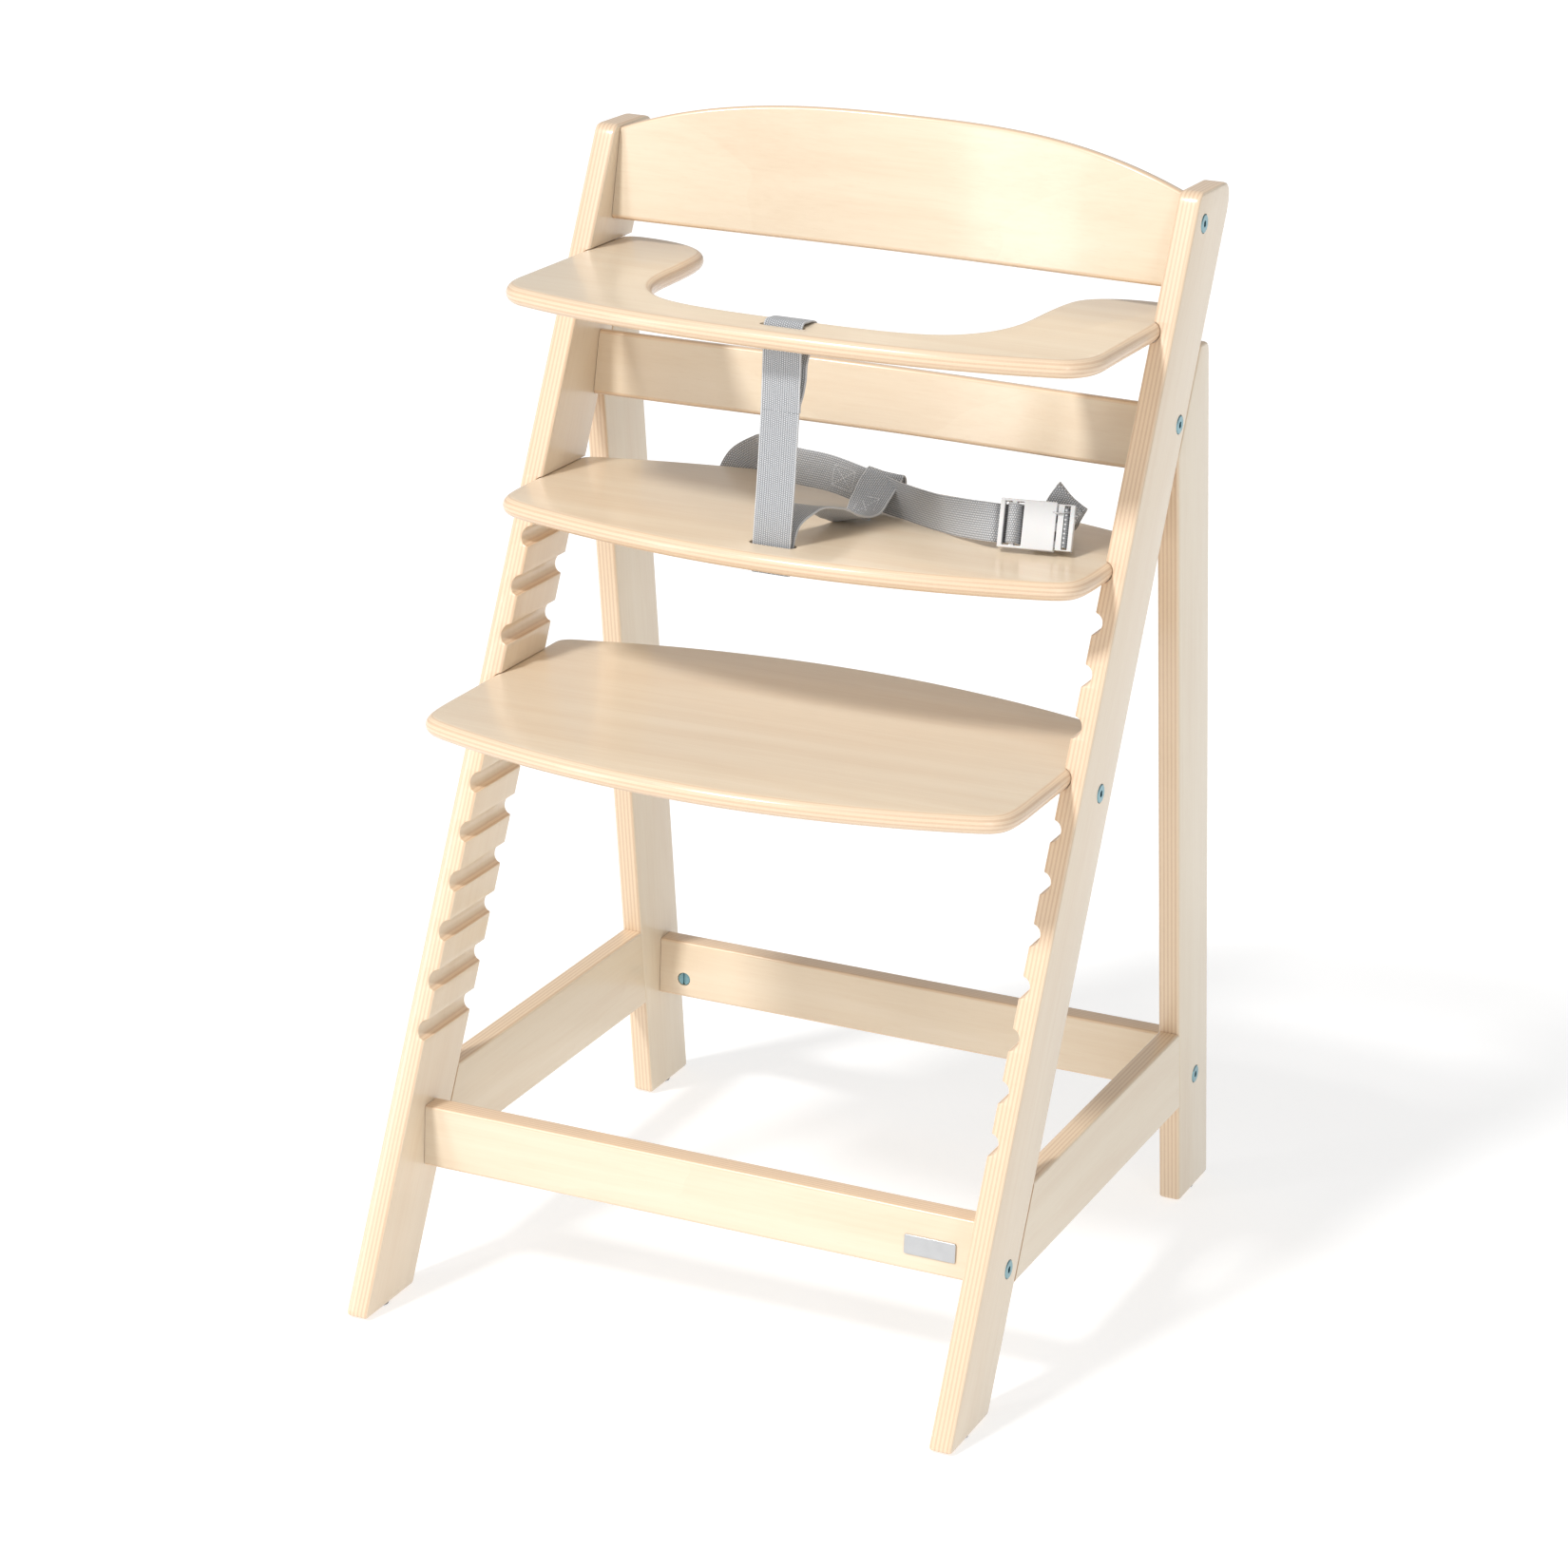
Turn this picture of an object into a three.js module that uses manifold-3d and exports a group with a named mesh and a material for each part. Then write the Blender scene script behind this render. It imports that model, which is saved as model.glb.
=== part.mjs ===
// A wooden stair high chair: two sloping grooved uprights with back legs glued behind them, three loose
// boards (tray, seat and footrest) that slide in the grooves, two curved back boards, two cross rails and a
// tie rod that bolts pull together, and a webbing harness with a side-release buckle.
// Units are millimetres. +X points to the sitter's left, +Y runs from the front to the back, +Z is up. The
// origin is on the floor, midway between the feet.
import * as THREE from "three";
import { mergeVertices } from "three/addons/utils/BufferGeometryUtils.js";
import Module from "manifold-3d";

const wasm = await Module();
wasm.setup();

// ---- Driving dimensions -------------------------------------------------------------------------------
const WIDTH = 450; // across the outer faces of the uprights
const DEPTH = 529; // front of the front feet to the back of the rear feet
const TOP = 778; // flat top of the uprights
const PLANK = 16; // thickness of every frame plank
const GAP = 0.3; // left between pieces that touch
const FOOT = 1.3; // underside of the planks, on their glides
const FOOT_ROUND = 3.5;

const UPRIGHT_LEAN = 0.457; // backward travel per unit of height
const UPRIGHT_RUN = 69.3; // plank width measured along Y
const TOP_ROUND = { front: 11, rear: 17 }; // corner radii at the top of each upright
const LEG_LEAN = -0.201; // the back legs lean forward
const LEG_RUN = 64.6;
const LEG_TOP = 671;
const LEG_TOP_ROUND = 12;

const GROOVES = 12;
const GROOVE_PITCH = 32;
const FIRST_GROOVE = 187.5; // height of the lowest groove's centre
const GROOVE_RADIUS = 6.9;
const GROOVE_DEPTH = 6.4;
const FOOTREST_GROOVE = 7; // counted from 0 at the bottom
const SEAT_GROOVE = 11;
const TRAY_HEIGHT = 689; // centre of the tray's own groove

const BOARD = 13; // thickness of tray, seat and footrest
const BOARD_ROUND = 6.2; // radius of their edges
const BOARD_HALF = 215; // half width, ends seated in the grooves
const BOW_REAR_X = 196; // where the bowed back edge of seat and footrest ends
const SEAT = { rear: 98, rearEnd: 64.5, front: -119, frontEnd: -86, taperFrom: -40 };
const FOOTREST = { rear: 68, rearEnd: 34, front: -231, frontEnd: -196, taperFrom: -150 };

const RAIL = 18; // thickness of the cross rails
const RAIL_HEIGHT = 45;
const FRONT_RAIL = { y: -171, bottom: 86.5 };
const REAR_RAIL = { y: 216, bottom: 83.5 };
const SIDE_RAIL = { bottom: 82, top: 145 };

const PANEL = 12; // thickness of the curved back boards
const PANEL_LEAN = 0.1684; // radians from the vertical
const UPPER_PANEL = { y: 87, z: 712.5, height: 64.5, rise: 30, sag: 22 };
const LOWER_PANEL = { y: 64, z: 590, height: 46, rise: 0, sag: 18 };

const SHANK = 3; // radius of the M6 connector bolts
const HEAD = { radius: 6.5, thickness: 2.6, sunk: 2 };
const SOCKET = { radius: 2.3, depth: 2 }; // hexagon socket in each bolt head
const NUT = { radius: 5, inset: 20.5 }; // barrel nuts, and how far in from the rail's end they sit
const RAIL_NUT = 13; // lengths of the barrel nuts
const PANEL_NUT = 9;
const DOWEL = { radius: 4, inRail: 22, inPlank: 7 };
const BOLT_HEIGHT = 98; // of the rail bolts
const RAIL_DOWEL_HEIGHT = 120;
const TIE_ROD = { y: -42, z: 394, radius: 5 };

const WEB = 28; // webbing width
const WEB_THICK = 1.6;
const TRAY_SLOT = { x: 3, y: -92.5, halfLength: 16, halfWidth: 3.4 };
const SEAT_SLOT = { x: 0.5, y: -90, halfLength: 17, halfWidth: 5 };
const TRAY_STRAP_Y = -92; // the tray strap hangs straight between the two slots
const CROTCH_STRAP_Y = -88;

const BUCKLE = { x: 160, y: -17, z: 564.4, yaw: 0.21, lean: 0.35 }; // centre, turned and leaning back
const BUCKLE_HALF = 16.5; // half its height, across the webbing
const BUCKLE_THICK = 9;

const HALF = WIDTH / 2;
const INNER = HALF - PLANK; // inner face of the uprights
const FRONT = -DEPTH / 2;
const grooveHeight = (k) => FIRST_GROOVE + k * GROOVE_PITCH;
const frontEdge = (z) => FRONT + UPRIGHT_LEAN * z;
const rearEdge = (z) => frontEdge(z) + UPRIGHT_RUN;
const legRear = (z) => DEPTH / 2 + LEG_LEAN * z;
const legFront = (z) => legRear(z) - LEG_RUN;
const seatTop = grooveHeight(SEAT_GROOVE) + BOARD / 2;
const seatUnder = seatTop - BOARD;

// ---- Materials ----------------------------------------------------------------------------------------
const material = (color, roughness, metalness = 0) =>
  new THREE.MeshStandardMaterial({ color, roughness, metalness });
const BIRCH = { color: 0xecd3a8, roughness: 0.4 };
const wood = () => material(BIRCH.color, BIRCH.roughness);
const beech = () => material(0xd9b07a, 0.6);
const zinc = () => material(0xb9c4cc, 0.3, 1);
const plate = () => material(0xc9ccd0, 0.35, 1);
const webbing = () => material(0xa9adb2, 0.85);
const whitePlastic = () => material(0xf4f5f5, 0.35);
const greyPlastic = () => material(0x8d9297, 0.5);

// ---- Geometry helpers ---------------------------------------------------------------------------------
const chair = new THREE.Group();

function addMesh(name, geometry, meshMaterial, parent = chair) {
  const mesh = new THREE.Mesh(geometry, meshMaterial);
  mesh.name = name;
  parent.add(mesh);
  return mesh;
}

// A closed geometry as a solid that can be cut.
function solid(geometry) {
  const bare = geometry.clone();
  for (const name of Object.keys(bare.attributes)) if (name !== "position") bare.deleteAttribute(name);
  const merged = mergeVertices(bare, 1e-3);
  return new wasm.Manifold(
    new wasm.Mesh({
      numProp: 3,
      vertProperties: new Float32Array(merged.attributes.position.array),
      triVerts: new Uint32Array(merged.index.array),
    }),
  );
}

function geometryOf(cutSolid) {
  const mesh = cutSolid.getMesh();
  const geometry = new THREE.BufferGeometry();
  const count = mesh.numProp;
  const positions = new Float32Array(mesh.numVert * 3);
  for (let i = 0; i < mesh.numVert; i++) {
    positions.set(mesh.vertProperties.subarray(i * count, i * count + 3), i * 3);
  }
  geometry.setAttribute("position", new THREE.BufferAttribute(positions, 3));
  geometry.setIndex(new THREE.BufferAttribute(new Uint32Array(mesh.triVerts), 1));
  geometry.computeVertexNormals();
  return geometry;
}

const cut = (geometry, tools) =>
  geometryOf(tools.reduce((left, tool) => left.subtract(solid(tool)), solid(geometry)));

const sorted = (a, b) => [Math.min(a, b), Math.max(a, b)];

// A shape drawn in (y, z), extruded along X from x0 by the given thickness.
function extrudeAlongX(shape, x0, thickness) {
  const options = { depth: thickness, bevelEnabled: false, curveSegments: 6 };
  const geometry = new THREE.ExtrudeGeometry(shape, options);
  const axes = new THREE.Matrix4().makeBasis(
    new THREE.Vector3(0, 1, 0),
    new THREE.Vector3(0, 0, 1),
    new THREE.Vector3(1, 0, 0),
  );
  return geometry.applyMatrix4(axes.setPosition(x0, 0, 0));
}

// A cylinder along X, Y or Z between two places on that axis.
function rod(axis, from, to, radius, centre, segments = 16) {
  const geometry = new THREE.CylinderGeometry(radius, radius, to - from, segments);
  if (axis === "x") geometry.rotateZ(-Math.PI / 2);
  if (axis === "z") geometry.rotateX(Math.PI / 2);
  const middle = (from + to) / 2;
  const [u, v] = centre;
  const place = { x: [middle, u, v], y: [u, middle, v], z: [u, v, middle] }[axis];
  return geometry.translate(...place);
}

function box(low, high) {
  const size = high.map((value, i) => value - low[i]);
  const middle = high.map((value, i) => (value + low[i]) / 2);
  return new THREE.BoxGeometry(...size).translate(...middle);
}

// A closed outline through corners, each rounded by its own radius: [[u, v, radius], ...].
function roundedShape(corners) {
  const shape = new THREE.Shape();
  corners.forEach(([u, v, radius], i) => {
    const here = new THREE.Vector2(u, v);
    const before = corners[(i + corners.length - 1) % corners.length];
    const after = corners[(i + 1) % corners.length];
    const toBefore = new THREE.Vector2(before[0], before[1]).sub(here).normalize();
    const toAfter = new THREE.Vector2(after[0], after[1]).sub(here).normalize();
    const halfAngle = Math.acos(THREE.MathUtils.clamp(toBefore.dot(toAfter), -1, 1)) / 2;
    const back = radius / Math.tan(halfAngle);
    const start = here.clone().addScaledVector(toBefore, back);
    const end = here.clone().addScaledVector(toAfter, back);
    if (i === 0) shape.moveTo(start.x, start.y);
    else shape.lineTo(start.x, start.y);
    if (radius > 0) shape.quadraticCurveTo(u, v, end.x, end.y);
  });
  shape.closePath();
  return shape;
}

// A flat strap: a thin rectangle swept along a smooth path, with its own width direction at each point.
function strap(points, widths, steps) {
  const path = new THREE.CatmullRomCurve3(points.map((p) => new THREE.Vector3(...p)), false, "centripetal");
  const across = new THREE.CatmullRomCurve3(widths.map((w) => new THREE.Vector3(...w)), false, "centripetal");
  const positions = [];
  const index = [];
  for (let i = 0; i <= steps; i++) {
    const t = i / steps;
    const centre = path.getPoint(t);
    const along = path.getTangent(t);
    const wide = across.getPoint(t);
    wide.addScaledVector(along, -wide.dot(along)).normalize();
    const thick = new THREE.Vector3().crossVectors(along, wide);
    for (const [a, b] of [[-1, -1], [1, -1], [1, 1], [-1, 1]]) {
      const corner = centre.clone().addScaledVector(wide, (a * WEB) / 2);
      corner.addScaledVector(thick, (b * WEB_THICK) / 2);
      positions.push(corner.x, corner.y, corner.z);
    }
    if (i === 0) continue;
    const low = (i - 1) * 4;
    for (let k = 0; k < 4; k++) {
      const next = (k + 1) % 4;
      index.push(low + k, low + next, low + 4 + k, low + next, low + 4 + next, low + 4 + k);
    }
  }
  const last = steps * 4;
  index.push(0, 2, 1, 0, 3, 2, last, last + 1, last + 2, last, last + 2, last + 3);
  const geometry = new THREE.BufferGeometry();
  geometry.setAttribute("position", new THREE.Float32BufferAttribute(positions, 3));
  geometry.setIndex(index);
  return geometry;
}

// ---- Side frames --------------------------------------------------------------------------------------
// Places, in (y, z), where a bolt goes through each upright, and where a dowel enters its inner face.
const panelPoint = (panel, up) => [
  panel.y + Math.sin(PANEL_LEAN) * up + (PANEL / 2) * Math.cos(PANEL_LEAN),
  panel.z + Math.cos(PANEL_LEAN) * up - (PANEL / 2) * Math.sin(PANEL_LEAN),
];
const UPPER_BOLT_UP = 45;
const UPPER_DOWEL_UP = 20;
const LOWER_BOLT_UP = 34;
const LOWER_DOWEL_UP = 13;
const uprightBolts = {
  bolt_upper_backrest: panelPoint(UPPER_PANEL, UPPER_BOLT_UP),
  bolt_lower_backrest: panelPoint(LOWER_PANEL, LOWER_BOLT_UP),
  bolt_tie_rod: [TIE_ROD.y, TIE_ROD.z],
  bolt_front_rail: [FRONT_RAIL.y, BOLT_HEIGHT],
};
const legBolts = { bolt_rear_rail: [REAR_RAIL.y, BOLT_HEIGHT] };
const uprightDowels = {
  dowel_upper_backrest: panelPoint(UPPER_PANEL, UPPER_DOWEL_UP),
  dowel_lower_backrest: panelPoint(LOWER_PANEL, LOWER_DOWEL_UP),
  dowel_front_rail: [FRONT_RAIL.y, RAIL_DOWEL_HEIGHT],
};
const legDowels = { dowel_rear_rail: [REAR_RAIL.y, RAIL_DOWEL_HEIGHT] };

// Holes for bolts and dowels in the plank on one side (side is -1 or 1).
function plankHoles(side, bolts, dowels) {
  const tools = [];
  const span = (a, b) => sorted(side * a, side * b);
  for (const place of Object.values(bolts)) {
    tools.push(rod("x", ...span(INNER - 1, HALF + 1), SHANK + GAP, place, 12));
    tools.push(rod("x", ...span(HALF - HEAD.sunk - GAP, HALF + 1), HEAD.radius + GAP, place, 14));
  }
  for (const place of Object.values(dowels)) {
    tools.push(rod("x", ...span(INNER - 1, INNER + DOWEL.inPlank + GAP), DOWEL.radius + GAP, place, 12));
  }
  return tools;
}

function upright(side) {
  const outline = roundedShape([
    [frontEdge(FOOT), FOOT, FOOT_ROUND],
    [rearEdge(FOOT), FOOT, FOOT_ROUND],
    [rearEdge(TOP), TOP, TOP_ROUND.rear],
    [frontEdge(TOP), TOP, TOP_ROUND.front],
  ]);
  const x0 = side < 0 ? -HALF : INNER;
  const plank = extrudeAlongX(outline, x0, PLANK);
  const heights = Array.from({ length: GROOVES }, (_, k) => grooveHeight(k));
  const centre = side * (INNER + GROOVE_DEPTH - GROOVE_RADIUS);
  const grooves = [...heights, TRAY_HEIGHT].map((z) =>
    rod("y", FRONT, DEPTH / 2, GROOVE_RADIUS, [centre, z], 16),
  );
  return cut(plank, [...grooves, ...plankHoles(side, uprightBolts, uprightDowels)]);
}

function backLeg(side) {
  const touching = (z) => rearEdge(z) + GAP;
  const seamBottom = (legFront(0) - touching(0)) / (UPRIGHT_LEAN - LEG_LEAN);
  const outline = roundedShape([
    [legFront(FOOT), FOOT, FOOT_ROUND],
    [legRear(FOOT), FOOT, FOOT_ROUND],
    [legRear(LEG_TOP), LEG_TOP, LEG_TOP_ROUND],
    [touching(LEG_TOP), LEG_TOP, 0],
    [touching(seamBottom), seamBottom, 0],
  ]);
  const plank = extrudeAlongX(outline, side < 0 ? -HALF : INNER, PLANK);
  return cut(plank, plankHoles(side, legBolts, legDowels));
}

function sideRail(side) {
  const { bottom, top } = SIDE_RAIL;
  const outline = roundedShape([
    [rearEdge(bottom) + GAP, bottom, 0],
    [legFront(bottom) - GAP, bottom, 0],
    [legFront(top) - GAP, top, 0],
    [rearEdge(top) + GAP, top, 0],
  ]);
  return extrudeAlongX(outline, side < 0 ? -HALF : INNER, PLANK);
}

// ---- Cross rails, back boards and their hardware ------------------------------------------------------
const RAIL_END = INNER - GAP;
const nutX = INNER - NUT.inset;

// A rail between the side frames; opens is the face (-1 front, 1 back) that its barrel-nut holes open to.
function crossRail({ y, bottom }, opens) {
  const bar = box([-RAIL_END, y - RAIL / 2, bottom], [RAIL_END, y + RAIL / 2, bottom + RAIL_HEIGHT]);
  const face = y + (opens * RAIL) / 2;
  const tools = [-1, 1].flatMap((side) => [
    rod("x", ...sorted(side * (nutX - 9), side * HALF), SHANK + GAP, [y, BOLT_HEIGHT], 12),
    rod("y", ...sorted(face + opens, face - opens * 15), NUT.radius + GAP, [side * nutX, BOLT_HEIGHT], 12),
    rod("x", ...sorted(side * (INNER - DOWEL.inRail - GAP), side * HALF), DOWEL.radius + GAP,
      [y, RAIL_DOWEL_HEIGHT], 12),
  ]);
  return cut(bar, tools);
}

// A curved back board in its own frame: x across, y through its thickness from its front face at the ends,
// z up from its lower edge. Its ends are straight, its middle bows back, and its top may rise to an arch.
function backBoard({ height, rise, sag }) {
  const stations = 16;
  const ease = 1.5;
  const positions = [];
  const index = [];
  const ring = 8;
  for (let i = 0; i <= stations; i++) {
    const x = -RAIL_END + (2 * RAIL_END * i) / stations;
    const share = Math.abs(x) / RAIL_END;
    const front = sag * (0.5 + 0.5 * Math.cos(Math.PI * share));
    const top = height + rise * (1 - share ** 2.8);
    const section = [
      [ease, 0], [PANEL - ease, 0], [PANEL, ease], [PANEL, top - ease],
      [PANEL - ease, top], [ease, top], [0, top - ease], [0, ease],
    ];
    for (const [y, z] of section) positions.push(x, front + y, z);
    if (i === 0) continue;
    const low = (i - 1) * ring;
    for (let k = 0; k < ring; k++) {
      const next = (k + 1) % ring;
      index.push(low + k, low + next, low + ring + k, low + next, low + ring + next, low + ring + k);
    }
  }
  const last = stations * ring;
  for (let k = 1; k < ring - 1; k++) index.push(0, k + 1, k, last, last + k, last + k + 1);
  const geometry = new THREE.BufferGeometry();
  geometry.setAttribute("position", new THREE.Float32BufferAttribute(positions, 3));
  geometry.setIndex(index);
  return geometry;
}

// The board with holes at each end: bolt, barrel nut (open at the back face) and dowel.
function drilledBackBoard(panel, boltUp, dowelUp) {
  const middle = PANEL / 2;
  const tools = [-1, 1].flatMap((side) => [
    rod("x", ...sorted(side * (nutX - 9), side * HALF), SHANK + GAP, [middle, boltUp], 12),
    rod("y", 1.5, PANEL + 6, NUT.radius + GAP, [side * nutX, boltUp], 12),
    rod("x", ...sorted(side * (INNER - DOWEL.inRail - GAP), side * HALF), DOWEL.radius + GAP,
      [middle, dowelUp], 12),
  ]);
  return cut(backBoard(panel), tools);
}

// A connector bolt along +X: a low head with a hexagon socket and a shank of the given length behind it.
function bolt(shankLength) {
  const under = -HEAD.thickness;
  const profile = [
    [0, under - shankLength], [SHANK - 0.6, under - shankLength], [SHANK, under - shankLength + 0.8],
    [SHANK, under], [HEAD.radius, under], [HEAD.radius, -0.9], [HEAD.radius - 1.2, 0], [0, 0],
  ].map(([r, h]) => new THREE.Vector2(r, h));
  const body = new THREE.LatheGeometry(profile, 14);
  const socket = new THREE.CylinderGeometry(SOCKET.radius, SOCKET.radius, 2 * SOCKET.depth, 6);
  return cut(body, [socket]).rotateZ(-Math.PI / 2);
}

// A barrel nut along Y, cross-drilled along X at y = 0. Its slotted end is at y = end, on the open side.
function barrelNut(length, end) {
  const far = end - Math.sign(end) * length;
  const body = rod("y", ...sorted(end, far), NUT.radius, [0, 0], 12);
  const hole = rod("x", -NUT.radius - 1, NUT.radius + 1, SHANK + GAP, [0, 0], 12);
  const [slotLow, slotHigh] = sorted(end + Math.sign(end), end - Math.sign(end) * 1.6);
  const slot = box([-0.8, slotLow, -NUT.radius - 1], [0.8, slotHigh, NUT.radius + 1]);
  return cut(body, [hole, slot]);
}

const sideName = (side) => (side < 0 ? "left" : "right");

function addBolt(name, side, [y, z], shankLength) {
  const mesh = addMesh(`${name}_${sideName(side)}`, bolt(shankLength), zinc());
  mesh.position.set(side * (HALF - HEAD.sunk + HEAD.thickness), y, z);
  if (side < 0) mesh.rotation.z = Math.PI;
}

const dowelGeometry = (side) => {
  const ends = sorted(side * (INNER - DOWEL.inRail), side * (INNER + DOWEL.inPlank));
  return rod("x", ...ends, DOWEL.radius, [0, 0], 12);
};

// ---- Frame --------------------------------------------------------------------------------------------
const GLIDE = { radius: 7, height: 1, ease: 0.6 };

function glide() {
  const { radius, height, ease } = GLIDE;
  const profile = [[0, 0], [radius - ease, 0], [radius, ease], [radius, height], [0, height]];
  return new THREE.LatheGeometry(profile.map(([r, h]) => new THREE.Vector2(r, h)), 12).rotateX(Math.PI / 2);
}

for (const side of [-1, 1]) {
  const name = sideName(side);
  addMesh(`upright_${name}`, upright(side), wood());
  addMesh(`back_leg_${name}`, backLeg(side), wood());
  addMesh(`side_rail_${name}`, sideRail(side), wood());

  const railShank = HEAD.sunk + PLANK - HEAD.thickness + NUT.inset;
  for (const [boltName, place] of Object.entries({ ...uprightBolts, ...legBolts })) {
    addBolt(boltName, side, place, railShank);
  }
  for (const [dowelName, [y, z]] of Object.entries({ ...uprightDowels, ...legDowels })) {
    addMesh(`${dowelName}_${name}`, dowelGeometry(side), beech()).position.set(0, y, z);
  }
  for (const [end, y] of [["front", frontEdge(0) + UPRIGHT_RUN / 2], ["rear", legRear(0) - LEG_RUN / 2]]) {
    const mesh = addMesh(`glide_${end}_${name}`, glide(), greyPlastic());
    mesh.position.set(side * (HALF - PLANK / 2), y, 0);
  }
}

addMesh("front_rail", crossRail(FRONT_RAIL, 1), wood());
addMesh("rear_rail", crossRail(REAR_RAIL, -1), wood());
for (const [name, rail, opens] of [["front_rail", FRONT_RAIL, 1], ["rear_rail", REAR_RAIL, -1]]) {
  for (const side of [-1, 1]) {
    const nut = barrelNut(RAIL_NUT, opens * (RAIL / 2 - 0.6));
    const mesh = addMesh(`nut_${name}_${sideName(side)}`, nut, zinc());
    mesh.position.set(side * nutX, rail.y, BOLT_HEIGHT);
  }
}

for (const [name, panel, boltUp, dowelUp] of [
  ["upper_backrest", UPPER_PANEL, UPPER_BOLT_UP, UPPER_DOWEL_UP],
  ["lower_backrest", LOWER_PANEL, LOWER_BOLT_UP, LOWER_DOWEL_UP],
]) {
  const frame = new THREE.Group();
  frame.position.set(0, panel.y, panel.z);
  frame.rotation.x = -PANEL_LEAN;
  chair.add(frame);
  addMesh(name, drilledBackBoard(panel, boltUp, dowelUp), wood(), frame);
  for (const side of [-1, 1]) {
    const nut = barrelNut(PANEL_NUT, PANEL / 2 - 0.8);
    const mesh = addMesh(`nut_${name}_${sideName(side)}`, nut, zinc(), frame);
    mesh.position.set(side * nutX, PANEL / 2, boltUp);
  }
}

// A steel rod between the uprights, drilled and tapped at both ends for its bolts.
function tieRod() {
  const { radius } = TIE_ROD;
  const bore = SHANK + GAP;
  const depth = NUT.inset + 2;
  const end = RAIL_END;
  const profile = [
    [0, -end + depth], [bore, -end + depth], [bore, -end], [radius, -end],
    [radius, end], [bore, end], [bore, end - depth], [0, end - depth],
  ].map(([r, h]) => new THREE.Vector2(r, h));
  return new THREE.LatheGeometry(profile, 16).rotateZ(-Math.PI / 2);
}
addMesh("tie_rod", tieRod(), zinc()).position.set(0, TIE_ROD.y, TIE_ROD.z);

const PLATE = { x: 172, z: 105.5, width: 37, height: 14, thick: 0.8 };
const plateFront = FRONT_RAIL.y - RAIL / 2 - GAP;
const plateOutline = roundedShape([
  [-PLATE.width / 2, -PLATE.height / 2, 1.2], [PLATE.width / 2, -PLATE.height / 2, 1.2],
  [PLATE.width / 2, PLATE.height / 2, 1.2], [-PLATE.width / 2, PLATE.height / 2, 1.2],
]);
const plateGeometry = new THREE.ExtrudeGeometry(plateOutline, {
  depth: PLATE.thick, bevelEnabled: false, curveSegments: 3,
});
const blankPlate = addMesh("blank_plate", plateGeometry.rotateX(Math.PI / 2), plate());
blankPlate.position.set(PLATE.x, plateFront, PLATE.z);

// ---- Tray, seat and footrest --------------------------------------------------------------------------
// Extrudes a plan outline to a board with rounded edges, centred on the given height.
function board(outline, height, curveSegments = 10) {
  const geometry = new THREE.ExtrudeGeometry(outline, {
    depth: BOARD - 2 * BOARD_ROUND,
    bevelThickness: BOARD_ROUND,
    bevelSize: BOARD_ROUND,
    bevelOffset: -BOARD_ROUND,
    bevelSegments: 2,
    curveSegments,
  });
  return geometry.translate(0, 0, height - BOARD / 2 + BOARD_ROUND);
}

// Seat and footrest: front and back edges are shallow bows, the front corners are drawn in.
function bowedOutline({ rear, rearEnd, front, frontEnd, taperFrom }) {
  const cornerX = 191;
  const rearX = BOW_REAR_X;
  const turn = 17; // length of the turn at each back corner
  const shape = new THREE.Shape();
  shape.moveTo(-cornerX, frontEnd);
  shape.quadraticCurveTo(0, 2 * front - frontEnd, cornerX, frontEnd);
  shape.bezierCurveTo(212, frontEnd + 8, BOARD_HALF - 0.6, taperFrom - 32, BOARD_HALF, taperFrom);
  shape.lineTo(BOARD_HALF, rearEnd - turn);
  shape.quadraticCurveTo(BOARD_HALF, rearEnd - 4, rearX, rearEnd);
  shape.quadraticCurveTo(0, 2 * rear - rearEnd, -rearX, rearEnd);
  shape.quadraticCurveTo(-BOARD_HALF, rearEnd - 4, -BOARD_HALF, rearEnd - turn);
  shape.lineTo(-BOARD_HALF, taperFrom);
  shape.bezierCurveTo(-BOARD_HALF + 0.6, taperFrom - 32, -212, frontEnd + 8, -cornerX, frontEnd);
  return shape;
}

const TRAY_FRONT = -114; // the tray's front and inner edges on its centre line
const TRAY_INNER = -67;

// The tray reaches back in two wings round the sitter; its outline is drawn for one side and mirrored.
function trayOutline() {
  const half = [
    ["quad", [118, -114.5], [190, -89]],
    ["cubic", [203, -86], [BOARD_HALF, -76], [BOARD_HALF, -50]],
    ["line", [BOARD_HALF, 102]],
    ["quad", [BOARD_HALF, 120], [196, 120]],
    ["cubic", [172, 120], [150, 112], [140, 95]],
    ["cubic", [134, 84], [133, 60], [132, 20]],
    ["cubic", [131, -10], [124, -34], [104, -51]],
    ["cubic", [84, -66], [50, TRAY_INNER], [0, TRAY_INNER]],
  ];
  const right = new THREE.Path();
  right.moveTo(0, TRAY_FRONT);
  for (const [kind, ...points] of half) {
    const flat = points.flat();
    if (kind === "line") right.lineTo(...flat);
    if (kind === "quad") right.quadraticCurveTo(...flat);
    if (kind === "cubic") right.bezierCurveTo(...flat);
  }
  const points = right.getPoints(6);
  const mirrored = points.slice(1, -1).reverse().map((p) => new THREE.Vector2(-p.x, p.y));
  return new THREE.Shape([...points, ...mirrored]);
}

const slotTool = ({ x, y, halfLength, halfWidth }, height) =>
  box([x - halfLength, y - halfWidth, height - BOARD], [x + halfLength, y + halfWidth, height + BOARD]);

const seatHeight = grooveHeight(SEAT_GROOVE);
const footrestHeight = grooveHeight(FOOTREST_GROOVE);
const seatBlank = board(bowedOutline(SEAT), seatHeight);
const trayBlank = board(trayOutline(), TRAY_HEIGHT);
addMesh("seat_board", cut(seatBlank, [slotTool(SEAT_SLOT, seatHeight)]), wood());
addMesh("footrest_board", board(bowedOutline(FOOTREST), footrestHeight), wood());
addMesh("tray_board", cut(trayBlank, [slotTool(TRAY_SLOT, TRAY_HEIGHT)]), wood());

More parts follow.
